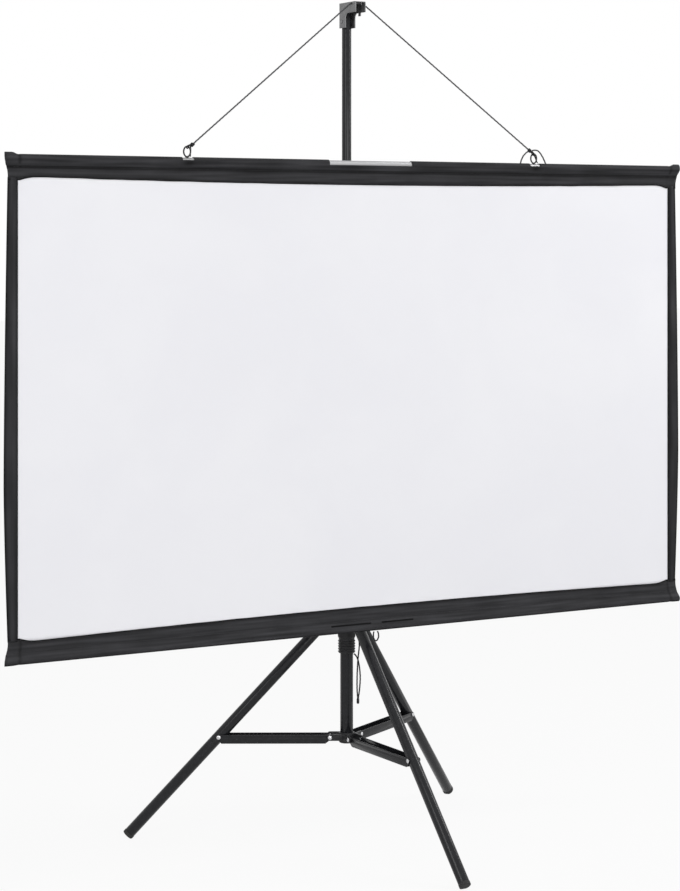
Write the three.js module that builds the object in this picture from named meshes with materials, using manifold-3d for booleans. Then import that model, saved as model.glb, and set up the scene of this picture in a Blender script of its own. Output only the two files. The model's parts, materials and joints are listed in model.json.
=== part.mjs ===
// Tripod projection screen: a cloth screen on two bars, hung by a cord from a telescopic tripod stand.
// Millimetres, +Z up. The screen faces -Y, and the stand's column is drawn on the Z axis.
import * as THREE from 'three';
import { mergeVertices } from 'three/addons/utils/BufferGeometryUtils.js';
import Module from 'manifold-3d';

const wasm = await Module();
wasm.setup();

// Clearances
const seat = 0.3;
const slip = 0.3;

// Column, middle tube and mast
const columnRadius = 14;
const columnWall = 0.8;
const columnLength = 700;
const midRadius = 12.1;
const midWall = 0.8;
const midLength = 770;
const midInsert = 345;
const mastRadius = 10.2;
const mastWall = 1.2;
const mastInsert = 380;
const bushLength = 40;

// Legs and struts
const legRadius = 12;
const legWall = 1.5;
const legLength = 647;
const legAngle = THREE.MathUtils.degToRad(42.8);
const legAzimuths = { front: -90, right: 30, left: 150 };
const pivotReach = 22;
const bracePoint = 355;
const strutWall = 1.2;
const strutEar = 5.2;
const rivetRadius = 2.5;
const rivetHead = 4.6;
const trunnionRadius = 3.5;
const tongueWidth = 12;
const footRadius = 12.4;
const footHead = 8;
const footFlat = 2;

// Leg hub and strut collar
const hubWall = 6;
const hubTop = 16;
const skirtWall = 4.75;
const skirtTop = -35;
const skirtBottom = -79;
const ribPitch = 5.7;
const ribDepth = 1.5;
const ribCount = 5;
const screwRadius = 2.4;
const lugWall = 4.2;
const leavingAngle = THREE.MathUtils.degToRad(-15);
const returningAngle = THREE.MathUtils.degToRad(-52);
const collarHalfHeight = 9;
const collarWall = 3.2;
const forkInset = 11;
const forkWall = 3;
const plugFlange = 4;

// Clamps and knobs
const clampSkirt = 22;
const clampHead = 24;
const clampWall = 4.7;
const bossRadius = 7;
const bossReach = 27;
const knobScrewRadius = 3;
const knobThickness = 13;

// Bracket on the mast
const bracketWidth = 26;
const bracketWall = 2.4;
const bracketSheet = 2;
const bracketReach = 60;
const bracketBack = 9;
const bracketRise = 54;
const armHeight = 23;
const rearLegReach = 16;
const tipPlace = 36;
const tipWidth = 8;
const tipDrop = 7;
const cordSeat = 44;
const cordSeatDepth = 6;

// Screen
const pictureDiagonal = 1829;
const pictureWidth = pictureDiagonal * 16 / Math.hypot(16, 9);
const pictureHeight = pictureDiagonal * 9 / Math.hypot(16, 9);
const sideBorder = 26;
const cornerFlare = 4;
const borderWaist = 4;
const borderBelly = 4;
const hemBand = 37.2;
const clothThickness = 0.8;
const clothLap = 6;
const barRadius = 7;
const barWall = 1.2;
const sleeveWall = 1;
const sleeveSeam = 6.6;
const sleeveEase = 0.4;
const bottomLevel = 463;
const screenForward = 99;
const hangDrop = 314;
const eyeSpan = 856;
const eyeShift = -5;
const eyeWire = 1.75;
const eyeWidth = 19;
const eyeHeight = 24.5;
const eyeNotch = 26;
const centreNotch = 204;
const tabCentre = 15;
const tabWidth = 30;
const cordRadius = 1.75;
const thinCordRadius = 1.4;
const beadLength = 11;
const slitHeight = 3;

// Radii and levels worked out from the sizes above
const pivotRadius = columnRadius + pivotReach;
const hubRadius = columnRadius + hubWall;
const skirtRadius = columnRadius + skirtWall;
const collarRadius = columnRadius + collarWall;
const forkRoot = columnRadius - forkInset;
const pivotHeight = legLength * Math.cos(legAngle) + footRadius * Math.sin(legAngle) - footFlat;
const strutLength = bracePoint * Math.sin(legAngle);
const collarHeight = pivotHeight - bracePoint * Math.cos(legAngle);
const columnBottom = collarHeight - collarHalfHeight;
const columnTop = columnBottom + columnLength;
const midBottom = columnTop - midInsert;
const midTop = midBottom + midLength;
const sleeveRadius = barRadius + sleeveEase + sleeveWall;
const seamDrop = sleeveRadius + sleeveSeam;
const hemDepth = sleeveRadius + hemBand;
const bottomBarLevel = bottomLevel + sleeveRadius;
const pictureBottom = bottomBarLevel + hemDepth;
const pictureTop = pictureBottom + pictureHeight;
const topBarLevel = pictureTop + hemDepth;
const eyeTop = topBarLevel + barRadius + eyeHeight;
const cordSeatLevel = eyeTop + hangDrop;
const bracketTop = cordSeatLevel + cordSeatDepth;
const mastBottom = midTop - mastInsert;
const mastTop = bracketTop - bracketSheet - seat;
const sheetWidth = pictureWidth + 2 * sideBorder;
const barLength = sheetWidth;
const sleeveLength = sheetWidth + 2 * cornerFlare;
const strutInside = 2 * legRadius + 2 * 0.4;
const strutDepth = legRadius + 0.5 + strutWall;
const forkInside = strutInside / 2 + strutWall + slip;
const knotLevel = eyeTop - eyeWire;

// Materials
function paint(color, roughness, metalness = 0) {
  return () => new THREE.MeshStandardMaterial({ color, roughness, metalness });
}
const blackMetal = paint(0x26272a, 0.45, 0.2);
const blackPlastic = paint(0x1d1e20, 0.6);
const greyMetal = paint(0x77797c, 0.4, 0.5);
const brightMetal = paint(0xc4c6c8, 0.3, 0.9);
const rubber = paint(0x141415, 0.85);
const whiteCloth = paint(0xe9ebee, 0.9);
const blackCloth = paint(0x1b1c1f, 0.85);
const darkCord = paint(0x3a3b3e, 0.8);

// Closed solids: shared vertices merged, empty faces dropped, faces turned outwards
function clean(geometry) {
  const bare = new THREE.BufferGeometry();
  bare.setAttribute('position', geometry.getAttribute('position').clone());
  if (geometry.index) bare.setIndex(geometry.index.clone());
  const merged = mergeVertices(bare, 1e-4);
  const points = merged.getAttribute('position');
  const corners = [new THREE.Vector3(), new THREE.Vector3(), new THREE.Vector3()];
  const faces = [];
  let volume = 0;
  for (let i = 0; i < merged.index.count; i += 3) {
    const ids = [0, 1, 2].map((k) => merged.index.getX(i + k));
    if (new Set(ids).size < 3) continue;
    faces.push(ids);
    corners.forEach((corner, k) => corner.fromBufferAttribute(points, ids[k]));
    volume += corners[0].dot(corners[1].clone().cross(corners[2]));
  }
  merged.setIndex(faces.flatMap(([a, b, c]) => (volume < 0 ? [a, c, b] : [a, b, c])));
  merged.computeVertexNormals();
  return merged;
}

function solid(geometry) {
  const ready = clean(geometry);
  return new wasm.Manifold(new wasm.Mesh({
    numProp: 3,
    vertProperties: new Float32Array(ready.getAttribute('position').array),
    triVerts: new Uint32Array(ready.index.array),
  }));
}

function shaped(manifold) {
  const mesh = manifold.getMesh();
  const geometry = new THREE.BufferGeometry();
  geometry.setAttribute('position', new THREE.BufferAttribute(new Float32Array(mesh.vertProperties), 3));
  geometry.setIndex([...mesh.triVerts]);
  geometry.computeVertexNormals();
  return geometry;
}

function join(...geometries) {
  return shaped(geometries.map(solid).reduce((whole, next) => whole.add(next)));
}

function cut(geometry, ...tools) {
  return shaped(tools.map(solid).reduce((left, tool) => left.subtract(tool), solid(geometry)));
}

function piece(name, geometry, material) {
  const mesh = new THREE.Mesh(clean(geometry), material());
  mesh.name = name;
  return mesh;
}

// Turned forms about Z, from [radius, level] points
function turned(points, sides = 24) {
  const profile = points.map(([radius, level]) => new THREE.Vector2(radius, level));
  return new THREE.LatheGeometry(profile, sides).rotateX(Math.PI / 2);
}

function ring(inner, outer, low, high, sides = 24) {
  return turned([[inner, low], [outer, low], [outer, high], [inner, high], [inner, low]], sides);
}

function rod(radius, low, high, sides = 12) {
  return turned([[0, low], [radius, low], [radius, high], [0, high]], sides);
}

// Headed fastener about Z with its shank between two levels
function headed(shank, head, thick, low, high) {
  const dome = head * 0.55;
  const profile = [[0, low - thick], [dome, low - thick], [head, low - thick * 0.35], [head, low]];
  profile.push([shank, low], [shank, high], [head, high]);
  profile.push([head, high + thick * 0.35], [dome, high + thick], [0, high + thick]);
  return turned(profile, 16);
}

function alongY(geometry) {
  return geometry.rotateX(-Math.PI / 2);
}

function alongX(geometry) {
  return geometry.rotateY(Math.PI / 2);
}

function box(x, y, z) {
  const geometry = new THREE.BoxGeometry(x[1] - x[0], y[1] - y[0], z[1] - z[0]);
  return geometry.translate((x[0] + x[1]) / 2, (y[0] + y[1]) / 2, (z[0] + z[1]) / 2);
}

// Plate of an outline drawn in (outward, up), centred across the Y axis
function plate(outline, thickness, curveSegments = 6) {
  const flat = new THREE.ExtrudeGeometry(outline, { depth: thickness, bevelEnabled: false, curveSegments });
  return flat.translate(0, 0, -thickness / 2).rotateX(Math.PI / 2);
}

// Plate of an outline drawn in (forward, up), centred across the X axis
function sidePlate(outline, thickness) {
  return plate(outline, thickness).rotateZ(-Math.PI / 2);
}

function outlineOf(points) {
  return new THREE.Shape(points.map(([x, y]) => new THREE.Vector2(x, y)));
}

// Round cord along points chosen by hand
function cord(points, radius, steps) {
  const path = new THREE.CatmullRomCurve3(points.map((p) => new THREE.Vector3(...p)), false, 'centripetal');
  const sides = 8;
  const section = outlineOf(Array.from({ length: sides }, (_, i) => {
    const angle = (i / sides) * 2 * Math.PI;
    return [radius * Math.cos(angle), radius * Math.sin(angle)];
  }));
  return new THREE.ExtrudeGeometry(section, { steps, extrudePath: path, bevelEnabled: false });
}

const stand = new THREE.Group();

// Column with a screw hole for the hub, and the flanged plug in its foot
const columnInside = columnRadius - columnWall;
const hubScrewLevel = pivotHeight - 20;
const columnTube = cut(
  ring(columnInside, columnRadius, columnBottom, columnTop),
  alongY(rod(screwRadius + slip, columnInside - 3, columnRadius + 2)).translate(0, 0, hubScrewLevel),
);
stand.add(piece('column_tube', columnTube, blackMetal));
const plugInside = columnInside - slip;
const plugBase = columnBottom - seat;
stand.add(piece('column_end_plug', turned([
  [0, plugBase - plugFlange],
  [columnRadius + 1, plugBase - plugFlange],
  [columnRadius + 2.5, plugBase - plugFlange + 1.5],
  [columnRadius + 2.5, plugBase],
  [plugInside, plugBase],
  [plugInside, columnBottom + 20],
  [0, columnBottom + 20],
]), blackPlastic));

// Leg hub: a moulded sleeve with a ribbed skirt and three pairs of open bearings for the leg trunnions
function hubProfile() {
  const bore = columnRadius + slip;
  const profile = [[bore, skirtBottom], [skirtRadius - ribDepth, skirtBottom]];
  for (let i = 0; i < ribCount; i += 1) {
    const level = skirtBottom + ribPitch * (i + 0.2);
    profile.push([skirtRadius - ribDepth, level], [skirtRadius, level + ribPitch * 0.15]);
    profile.push([skirtRadius, level + ribPitch * 0.45], [skirtRadius - ribDepth, level + ribPitch * 0.6]);
  }
  profile.push([skirtRadius - ribDepth, skirtTop - 12], [skirtRadius, skirtTop - 10]);
  profile.push([skirtRadius, skirtTop]);
  profile.push([hubRadius, skirtTop + 4], [hubRadius, hubTop - 3], [hubRadius - 3, hubTop], [bore, hubTop]);
  profile.push([bore, skirtBottom]);
  return profile;
}

function hubLugs() {
  const root = hubRadius - 3 - pivotRadius;
  const reach = 8.5;
  const lug = new THREE.Shape();
  lug.moveTo(root, -reach);
  lug.lineTo(0, -reach);
  lug.absarc(0, 0, reach, -Math.PI / 2, Math.PI / 2, false);
  lug.lineTo(root, reach);
  const middle = tongueWidth / 2 + slip + lugWall / 2;
  return [-middle, middle].map((side) => plate(lug, lugWall).translate(pivotRadius, side, 0));
}

// Way out of a bearing: the trunnion leaves a little below level and comes back from further down
function bearingMouth() {
  const room = trunnionRadius + slip;
  const upper = [-room * Math.sin(leavingAngle), room * Math.cos(leavingAngle)];
  const lower = [room * Math.sin(returningAngle), -room * Math.cos(returningAngle)];
  const far = 40;
  return outlineOf([
    upper,
    [upper[0] + far * Math.cos(leavingAngle), upper[1] + far * Math.sin(leavingAngle)],
    [lower[0] + far * Math.cos(returningAngle), lower[1] + far * Math.sin(returningAngle)],
    lower,
  ]);
}

function legHub() {
  const span = tongueWidth + 4 * lugWall;
  const around = Object.values(legAzimuths).map((degrees) => THREE.MathUtils.degToRad(degrees));
  const lugs = around.flatMap((angle) => hubLugs().map((lug) => lug.rotateZ(angle)));
  const mouths = around.flatMap((angle) => [
    plate(bearingMouth(), span).translate(pivotRadius, 0, 0).rotateZ(angle),
    alongY(rod(trunnionRadius + slip, -span / 2, span / 2)).translate(pivotRadius, 0, 0).rotateZ(angle),
  ]);
  const screwHole = alongY(rod(screwRadius + slip, columnInside, hubRadius + 4))
    .translate(0, 0, hubScrewLevel - pivotHeight);
  return cut(join(turned(hubProfile()), ...lugs), ...mouths, screwHole).translate(0, 0, pivotHeight);
}
stand.add(piece('leg_hub', legHub(), blackPlastic));
const hubScrew = turned([
  [0, columnInside + seat],
  [screwRadius, columnInside + seat],
  [screwRadius, hubRadius + seat],
  [4.5, hubRadius + seat],
  [4.5, hubRadius + seat + 1.5],
  [3, hubRadius + seat + 3],
  [0, hubRadius + seat + 3],
], 16);
stand.add(piece('hub_screw', alongY(hubScrew).translate(0, 0, hubScrewLevel), brightMetal));

// Strut collar: slides on the column, with a fork of two plates for each strut
function strutCollar() {
  const prong = new THREE.Shape();
  const reach = 7;
  prong.moveTo(forkRoot - pivotRadius, -reach);
  prong.lineTo(0, -reach);
  prong.absarc(0, 0, reach, -Math.PI / 2, Math.PI / 2, false);
  prong.lineTo(forkRoot - pivotRadius, reach);
  const side = forkInside + forkWall / 2;
  const around = Object.values(legAzimuths).map((degrees) => THREE.MathUtils.degToRad(degrees));
  const prongs = around.flatMap((angle) => [-side, side].map((y) => (
    plate(prong, forkWall).translate(pivotRadius, y, 0).rotateZ(angle)
  )));
  const holes = around.map((angle) => (
    alongY(rod(rivetRadius + slip, -2 * side, 2 * side)).translate(pivotRadius, 0, 0).rotateZ(angle)
  ));
  const body = ring(columnRadius + slip, collarRadius, -collarHalfHeight, collarHalfHeight);
  const bore = rod(columnRadius + slip, -collarHalfHeight - 1, collarHalfHeight + 1, 24);
  return cut(join(body, ...prongs), bore, ...holes).translate(0, 0, collarHeight);
}
stand.add(piece('strut_collar', strutCollar(), blackPlastic));

// Stub rivet through one fork plate and one strut flange, flush inside so that the folded leg can pass
function stubRivet() {
  const outside = forkInside + forkWall + slip;
  return alongY(turned([
    [0, strutInside / 2],
    [rivetRadius, strutInside / 2],
    [rivetRadius, outside],
    [rivetHead, outside],
    [rivetHead, outside + 0.6],
    [rivetHead * 0.55, outside + 1.8],
    [0, outside + 1.8],
  ], 16));
}

// Strut: a pressed channel, open on top, with rounded ears inside the collar's fork and outside the leg
function strut() {
  const ear = new THREE.Shape();
  ear.moveTo(10, -strutDepth);
  ear.lineTo(strutLength - 6, -strutDepth);
  ear.absarc(strutLength, 0, strutEar, -Math.PI / 6, Math.PI / 2, false);
  ear.lineTo(0, strutEar);
  ear.absarc(0, 0, strutEar, Math.PI / 2, Math.PI * 7 / 6, false);
  const side = strutInside / 2 + strutWall / 2;
  const width = strutInside + 2 * strutWall;
  const web = box([14, strutLength - 8], [-width / 2, width / 2], [-strutDepth, strutWall - strutDepth]);
  const holes = [0, strutLength].map((x) => (
    alongY(rod(rivetRadius + slip, -width, width)).translate(x, 0, 0)
  ));
  return cut(join(web, ...[-side, side].map((y) => plate(ear, strutWall).translate(0, y, 0))), ...holes);
}

function rivet() {
  const half = strutInside / 2 + strutWall + slip;
  return alongY(headed(rivetRadius, rivetHead, 1.8, -half, half));
}

// Leg: tube, moulded top with trunnions, and a rubber foot cut level where it meets the floor
const legInside = legRadius - legWall;
const legTopGap = 16;

function legTube() {
  const end = footHead - legLength + seat;
  return cut(
    ring(legInside, legRadius, end, -legTopGap - seat),
    alongY(rod(rivetRadius + slip, -2 * legRadius, 2 * legRadius)).translate(0, 0, -bracePoint),
  );
}

function legTopFitting() {
  const round = 8;
  const tongue = new THREE.Shape();
  tongue.moveTo(-round, 3 - legTopGap);
  tongue.lineTo(round, 3 - legTopGap);
  tongue.lineTo(round, 0);
  tongue.absarc(0, 0, round, 0, Math.PI, false);
  const halfPin = tongueWidth / 2 + slip + lugWall;
  return join(
    plate(tongue, tongueWidth),
    alongY(rod(trunnionRadius, -halfPin, halfPin)),
    rod(legRadius, -legTopGap, 4 - legTopGap, 24),
    rod(legInside - slip, -legTopGap - 28, 1 - legTopGap, 24),
  );
}

function foot(legMatrix) {
  const end = -legLength;
  const plug = turned([
    [0, end],
    [footRadius - 1, end],
    [footRadius, end + 1],
    [footRadius, end + footHead],
    [legInside - slip, end + footHead],
    [legInside - slip, end + footHead + 25],
    [0, end + footHead + 25],
  ]);
  const floor = box([-900, 900], [-900, 900], [-60, 0]).applyMatrix4(legMatrix.clone().invert());
  return cut(plug, floor);
}

for (const [side, azimuth] of Object.entries(legAzimuths)) {
  const spoke = new THREE.Group();
  spoke.rotation.z = THREE.MathUtils.degToRad(azimuth);
  const brace = new THREE.Group();
  brace.position.set(pivotRadius, 0, collarHeight);
  brace.add(piece(`strut_${side}`, strut(), blackMetal));
  brace.add(piece(`strut_${side}_rivet`, rivet().translate(strutLength, 0, 0), brightMetal));
  brace.add(piece(`collar_rivet_${side}_a`, stubRivet(), brightMetal));
  brace.add(piece(`collar_rivet_${side}_b`, stubRivet().rotateZ(Math.PI), brightMetal));
  const leg = new THREE.Group();
  leg.position.set(pivotRadius, 0, pivotHeight);
  leg.rotation.y = -legAngle;
  leg.updateMatrix();
  leg.add(piece(`leg_${side}_tube`, legTube(), blackMetal));
  leg.add(piece(`leg_${side}_top`, legTopFitting(), blackPlastic));
  leg.add(piece(`leg_${side}_foot`, foot(leg.matrix), rubber));
  spoke.add(brace, leg);
  stand.add(spoke);
}

// Clamp that caps a tube and grips the next one, with a boss behind for its thumb knob
function clamp(outer, inner) {
  const wide = outer + slip + clampWall;
  const body = turned([
    [outer + slip, -clampSkirt],
    [wide, -clampSkirt],
    [wide, clampHead - 4],
    [wide - 2, clampHead],
    [inner + slip, clampHead],
    [inner + slip, seat],
    [outer + slip, seat],
    [outer + slip, -clampSkirt],
  ]);
  const boss = alongY(rod(bossRadius, inner + 3, bossReach)).translate(0, 0, clampHead / 2);
  const hole = alongY(rod(knobScrewRadius + slip, 0, bossReach + 2)).translate(0, 0, clampHead / 2);
  return cut(join(body, boss), hole);
}

// Thumb knob: five lobes on a screw that presses on the inner tube
function knob(inner) {
  const lobes = Array.from({ length: 40 }, (_, i) => {
    const angle = (i / 40) * 2 * Math.PI;
    const radius = 13 + 2 * Math.cos(5 * angle);
    return [radius * Math.cos(angle), radius * Math.sin(angle)];
  });
  const grip = new THREE.ExtrudeGeometry(outlineOf(lobes), { depth: knobThickness, bevelEnabled: false });
  const screw = rod(knobScrewRadius, inner + seat, bossReach + 2);
  return alongY(join(screw, grip.translate(0, 0, bossReach + seat))).translate(0, 0, clampHead / 2);
}

function above(level, ...meshes) {
  const group = new THREE.Group();
  group.position.z = level;
  group.add(...meshes);
  return group;
}

stand.add(above(
  columnTop,
  piece('column_clamp', clamp(columnRadius, midRadius), blackPlastic),
  piece('column_knob', knob(midRadius), blackPlastic),
));
stand.add(above(
  midTop,
  piece('mast_clamp', clamp(midRadius, mastRadius), blackPlastic),
  piece('mast_knob', knob(mastRadius), blackPlastic),
));

// Middle tube and mast, each with a guide bush round its lower end
const midInside = midRadius - midWall;
stand.add(piece('mid_tube', ring(midInside, midRadius, midBottom, midTop), blackMetal));
stand.add(piece('mid_bush', ring(midRadius + slip, columnInside - slip, midBottom, midBottom + bushLength),
  blackPlastic));
stand.add(piece('mast_bush', ring(mastRadius + slip, midInside - slip, mastBottom, mastBottom + bushLength),
  blackPlastic));
const boltLevel = bracketTop - bracketRise + 14;
const mastTube = cut(
  ring(mastRadius - mastWall, mastRadius, mastBottom, mastTop),
  alongX(rod(rivetRadius + slip, -20, 20)).translate(0, 0, boltLevel),
);
stand.add(piece('mast_tube', mastTube, blackMetal));

// Bracket: folded sheet, open in front, below and behind, with a seat for the cord across its arm
function bracket() {
  const bottom = bracketTop - bracketRise;
  const armBottom = bracketTop - armHeight;
  const fillet = 10;
  const outline = new THREE.Shape();
  outline.moveTo(-bracketBack, bottom);
  outline.lineTo(rearLegReach, bottom);
  outline.lineTo(rearLegReach, armBottom - fillet);
  outline.absarc(rearLegReach + fillet, armBottom - fillet, fillet, Math.PI, Math.PI / 2, true);
  outline.lineTo(bracketReach, armBottom);
  outline.lineTo(bracketReach, bracketTop - 3);
  outline.absarc(bracketReach - 3, bracketTop - 3, 3, 0, Math.PI / 2, false);
  outline.lineTo(-bracketBack, bracketTop);
  const half = bracketWidth / 2;
  const inside = half - bracketWall;
  const hollow = box([-inside, inside], [-bracketReach - 5, bracketBack + 5],
    [bottom - 5, bracketTop - bracketSheet]);
  const tip = box([inside, half], [-tipPlace - tipWidth / 2, tipWidth / 2 - tipPlace],
    [armBottom - tipDrop, armBottom + 1]);
  const groove = box([-half - 5, half + 5], [-cordSeat - 3, 3 - cordSeat], [cordSeatLevel, bracketTop + 5]);
  const bolt = alongX(rod(rivetRadius + slip, -half - 5, half + 5)).translate(0, 0, boltLevel);
  return cut(join(sidePlate(outline, bracketWidth), tip), hollow, groove, bolt);
}
stand.add(piece('hook_bracket', bracket(), greyMetal));
const boltReach = bracketWidth / 2 + seat;
const bolt = alongX(headed(rivetRadius, 4.5, 2.6, -boltReach, boltReach)).translate(0, 0, boltLevel);
stand.add(piece('bracket_bolt', bolt, brightMetal));

// Bars of the screen, with plugged ends and, on the top one, two screw eyes
const barInside = barRadius - barWall;
const eyePlaces = { left: eyeShift - eyeSpan / 2, right: eyeShift + eyeSpan / 2 };

function bar() {
  return alongX(ring(barInside, barRadius, -barLength / 2, barLength / 2, 20));
}

function barPlug() {
  const half = barLength / 2;
  return turned([
    [0, half - 20],
    [barInside - slip, half - 20],
    [barInside - slip, half + seat],
    [barRadius, half + seat],
    [barRadius, half + seat + 2],
    [0, half + seat + 3],
  ], 20);
}

function screwEye() {
  const wide = eyeWidth / 2 - eyeWire;
  const tall = eyeHeight / 2 - eyeWire;
  const loop = new THREE.TorusGeometry(wide, eyeWire, 8, 24);
  const points = loop.getAttribute('position');
  for (let i = 0; i < points.count; i += 1) {
    const [x, y] = [points.getX(i), points.getY(i)];
    points.setY(i, y + (tall - wide) * y / Math.hypot(x, y));
  }
  loop.rotateX(Math.PI / 2).translate(0, 0, eyeHeight / 2);
  const stem = turned([
    [0, -barRadius],
    [2, -barRadius],
    [2, seat],
    [4, seat],
    [4, 3],
    [0, 3],
  ], 16);
  return join(loop, stem);
}

// Hem: a flat band in front of the sheet that closes into a sleeve round its bar
function hem() {
  const front = -clothThickness * 1.5 - seat;
  const back = front + clothThickness;
  const spread = Math.PI * 25 / 180;
  const section = new THREE.Shape();
  section.moveTo(front, seat - hemDepth);
  section.lineTo(back, seat - hemDepth);
  section.lineTo(back, -seamDrop);
  section.absarc(0, 0, sleeveRadius, -spread, Math.PI + spread, false);
  section.lineTo(front, -seamDrop);
  const inside = new THREE.Path();
  inside.absarc(0, 0, sleeveRadius - sleeveWall, -spread, Math.PI + spread, false);
  inside.lineTo((front + back) / 2, 2.5 - seamDrop);
  section.holes.push(inside);
  const run = { depth: sleeveLength, bevelEnabled: false, curveSegments: 10 };
  const flat = new THREE.ExtrudeGeometry(section, run).translate(0, 0, -sleeveLength / 2);
  const bandEnd = pictureWidth / 2 + sideBorder - borderWaist;
  const trims = [[-sleeveLength, -bandEnd], [bandEnd, sleeveLength]].map((ends) => (
    box(ends, [-sleeveRadius, sleeveRadius], [-2 * hemDepth, -seamDrop])
  ));
  return cut(flat.rotateX(Math.PI / 2).rotateZ(Math.PI / 2), ...trims);
}

function opening(low, high, bottom) {
  return box([low, high], [-30, 30], [bottom, bottom + 60]);
}

const eyeOpenings = Object.values(eyePlaces).map((x) => opening(x - eyeNotch / 2, x + eyeNotch / 2, 2));
const topHem = cut(hem(), opening(-centreNotch / 2, centreNotch / 2, -5.6), ...eyeOpenings);
const tabSides = [tabCentre - tabWidth / 2, tabCentre + tabWidth / 2];
function slit(low, high) {
  const top = -sleeveRadius;
  return box([low, high], [-30, 0], [top, top + slitHeight]);
}

const bottomHem = cut(hem(), slit(-centreNotch / 2, tabSides[0]), slit(tabSides[1], centreNotch / 2));

// Side border: straight along the picture, and fullest half way up on its outer side
function border() {
  const half = (pictureHeight - seat) / 2;
  const narrow = sideBorder - borderWaist;
  const full = narrow + (borderWaist + borderBelly) * 4 / 3;
  const outline = new THREE.Shape();
  outline.moveTo(0, -half);
  outline.lineTo(narrow, -half);
  outline.bezierCurveTo(full, -half * 0.4, full, half * 0.4, narrow, half);
  outline.lineTo(0, half);
  return plate(outline, clothThickness, 12);
}

const screen = new THREE.Group();
screen.position.y = -screenForward;
const clothFront = -clothThickness - seat;
const pictureMiddle = (pictureTop + pictureBottom) / 2;
screen.add(piece('white_sheet', box(
  [-pictureWidth / 2 - clothLap, pictureWidth / 2 + clothLap],
  [-clothThickness / 2, clothThickness / 2],
  [pictureBottom - clothLap, pictureTop + clothLap],
), whiteCloth));
const rightBorder = border().translate(pictureWidth / 2, clothFront, pictureMiddle);
const leftBorder = border().scale(-1, 1, 1).translate(-pictureWidth / 2, clothFront, pictureMiddle);
screen.add(piece('border_right', rightBorder, blackCloth));
screen.add(piece('border_left', leftBorder, blackCloth));
screen.add(above(
  topBarLevel,
  piece('top_hem', topHem, blackCloth),
  piece('top_bar', cut(bar(), ...Object.values(eyePlaces).map((x) => (
    rod(2 + slip, 0, 2 * barRadius).translate(x, 0, 0)
  ))), brightMetal),
  piece('top_bar_plug_right', alongX(barPlug()), blackPlastic),
  piece('top_bar_plug_left', alongX(barPlug()).rotateZ(Math.PI), blackPlastic),
));
screen.add(above(
  bottomBarLevel,
  piece('bottom_hem', bottomHem.scale(1, 1, -1), blackCloth),
  piece('bottom_bar', bar(), brightMetal),
  piece('bottom_bar_plug_right', alongX(barPlug()), blackPlastic),
  piece('bottom_bar_plug_left', alongX(barPlug()).rotateZ(Math.PI), blackPlastic),
));
for (const [side, x] of Object.entries(eyePlaces)) {
  const eye = screwEye().translate(x, 0, topBarLevel + barRadius);
  screen.add(piece(`screw_eye_${side}`, eye, blackMetal));
}
const loopTop = bottomBarLevel - sleeveRadius - seat - thinCordRadius;
screen.add(piece('bottom_loop', cord([
  [tabCentre - 3, 0, loopTop],
  [tabCentre - 3, 0, loopTop - 10],
  [tabCentre - 0.5, 0, loopTop - 19],
  [tabCentre + 3, 0, loopTop - 21],
  [tabCentre + 6, 0, loopTop - 17],
  [tabCentre + 6.5, 0, loopTop - 9],
  [tabCentre + 4.5, 0, loopTop],
], thinCordRadius, 18), darkCord));
stand.add(screen);

// Hanging cord: knotted round the top of each eye, laid over the bracket's seat
const saddleLevel = cordSeatLevel + seat + cordRadius;
const saddleEnd = [26, -cordSeat - 1.6, saddleLevel - 8.5];
const saddleHalf = [
  [13, -cordSeat, saddleLevel - 0.3],
  [17, -cordSeat - 0.4, saddleLevel - 1.9],
  saddleEnd,
];
stand.add(piece('hang_cord_saddle', cord([
  ...saddleHalf.map(([x, y, z]) => [-x, y, z]).reverse(),
  [-8, -cordSeat, saddleLevel],
  [8, -cordSeat, saddleLevel],
  ...saddleHalf,
], cordRadius, 28), darkCord));

function knot() {
  const turn = eyeWire + 0.4 + cordRadius;
  const loop = new THREE.TorusGeometry(turn, cordRadius, 8, 20).rotateY(Math.PI / 2);
  const lump = new THREE.SphereGeometry(3.4, 12, 8).scale(1.15, 1, 0.95).translate(0, 0, turn + 3);
  return join(loop, lump);
}

for (const [side, x] of Object.entries(eyePlaces)) {
  const sign = Math.sign(x);
  const knotTop = new THREE.Vector3(x - sign * 3.4, -screenForward, knotLevel + eyeWire + cordRadius + 6);
  const end = new THREE.Vector3(sign * saddleEnd[0], saddleEnd[1], saddleEnd[2]);
  const along = end.clone().sub(knotTop).normalize();
  end.addScaledVector(along, -seat);
  knotTop.addScaledVector(along, seat + 1.4);
  stand.add(piece(`hang_cord_${side}`, cord([knotTop.toArray(), end.toArray()], cordRadius, 2), darkCord));
  stand.add(piece(`knot_${side}`, knot().translate(x, -screenForward, knotLevel), darkCord));
}

// Loose tail of the right knot: over the hem, down behind the bar and up again
const tailMiddle = eyePlaces.right;
const tailBehind = 12.5 - screenForward;
stand.add(piece('cord_tail', cord([
  [tailMiddle - 5.8, -screenForward - 2, knotLevel + 4.5],
  [tailMiddle - 14, -screenForward, knotLevel + 5],
  [tailMiddle - 24, 1 - screenForward, knotLevel - 2],
  [tailMiddle - 29, 5 - screenForward, knotLevel - 13],
  [tailMiddle - 27, tailBehind, knotLevel - 29],
  [tailMiddle - 17, tailBehind, knotLevel - 45],
  [tailMiddle + 6, tailBehind, knotLevel - 52],
  [tailMiddle + 32, tailBehind, knotLevel - 47],
  [tailMiddle + 44, tailBehind, knotLevel - 32],
  [tailMiddle + 35, 8 - screenForward, knotLevel - 16],
  [tailMiddle + 22, 1 - screenForward, knotLevel - 3],
  [tailMiddle + 14, -screenForward, knotLevel + 5],
  [tailMiddle + 5.8, -screenForward, knotLevel + 7],
], cordRadius, 48), darkCord));

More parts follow.
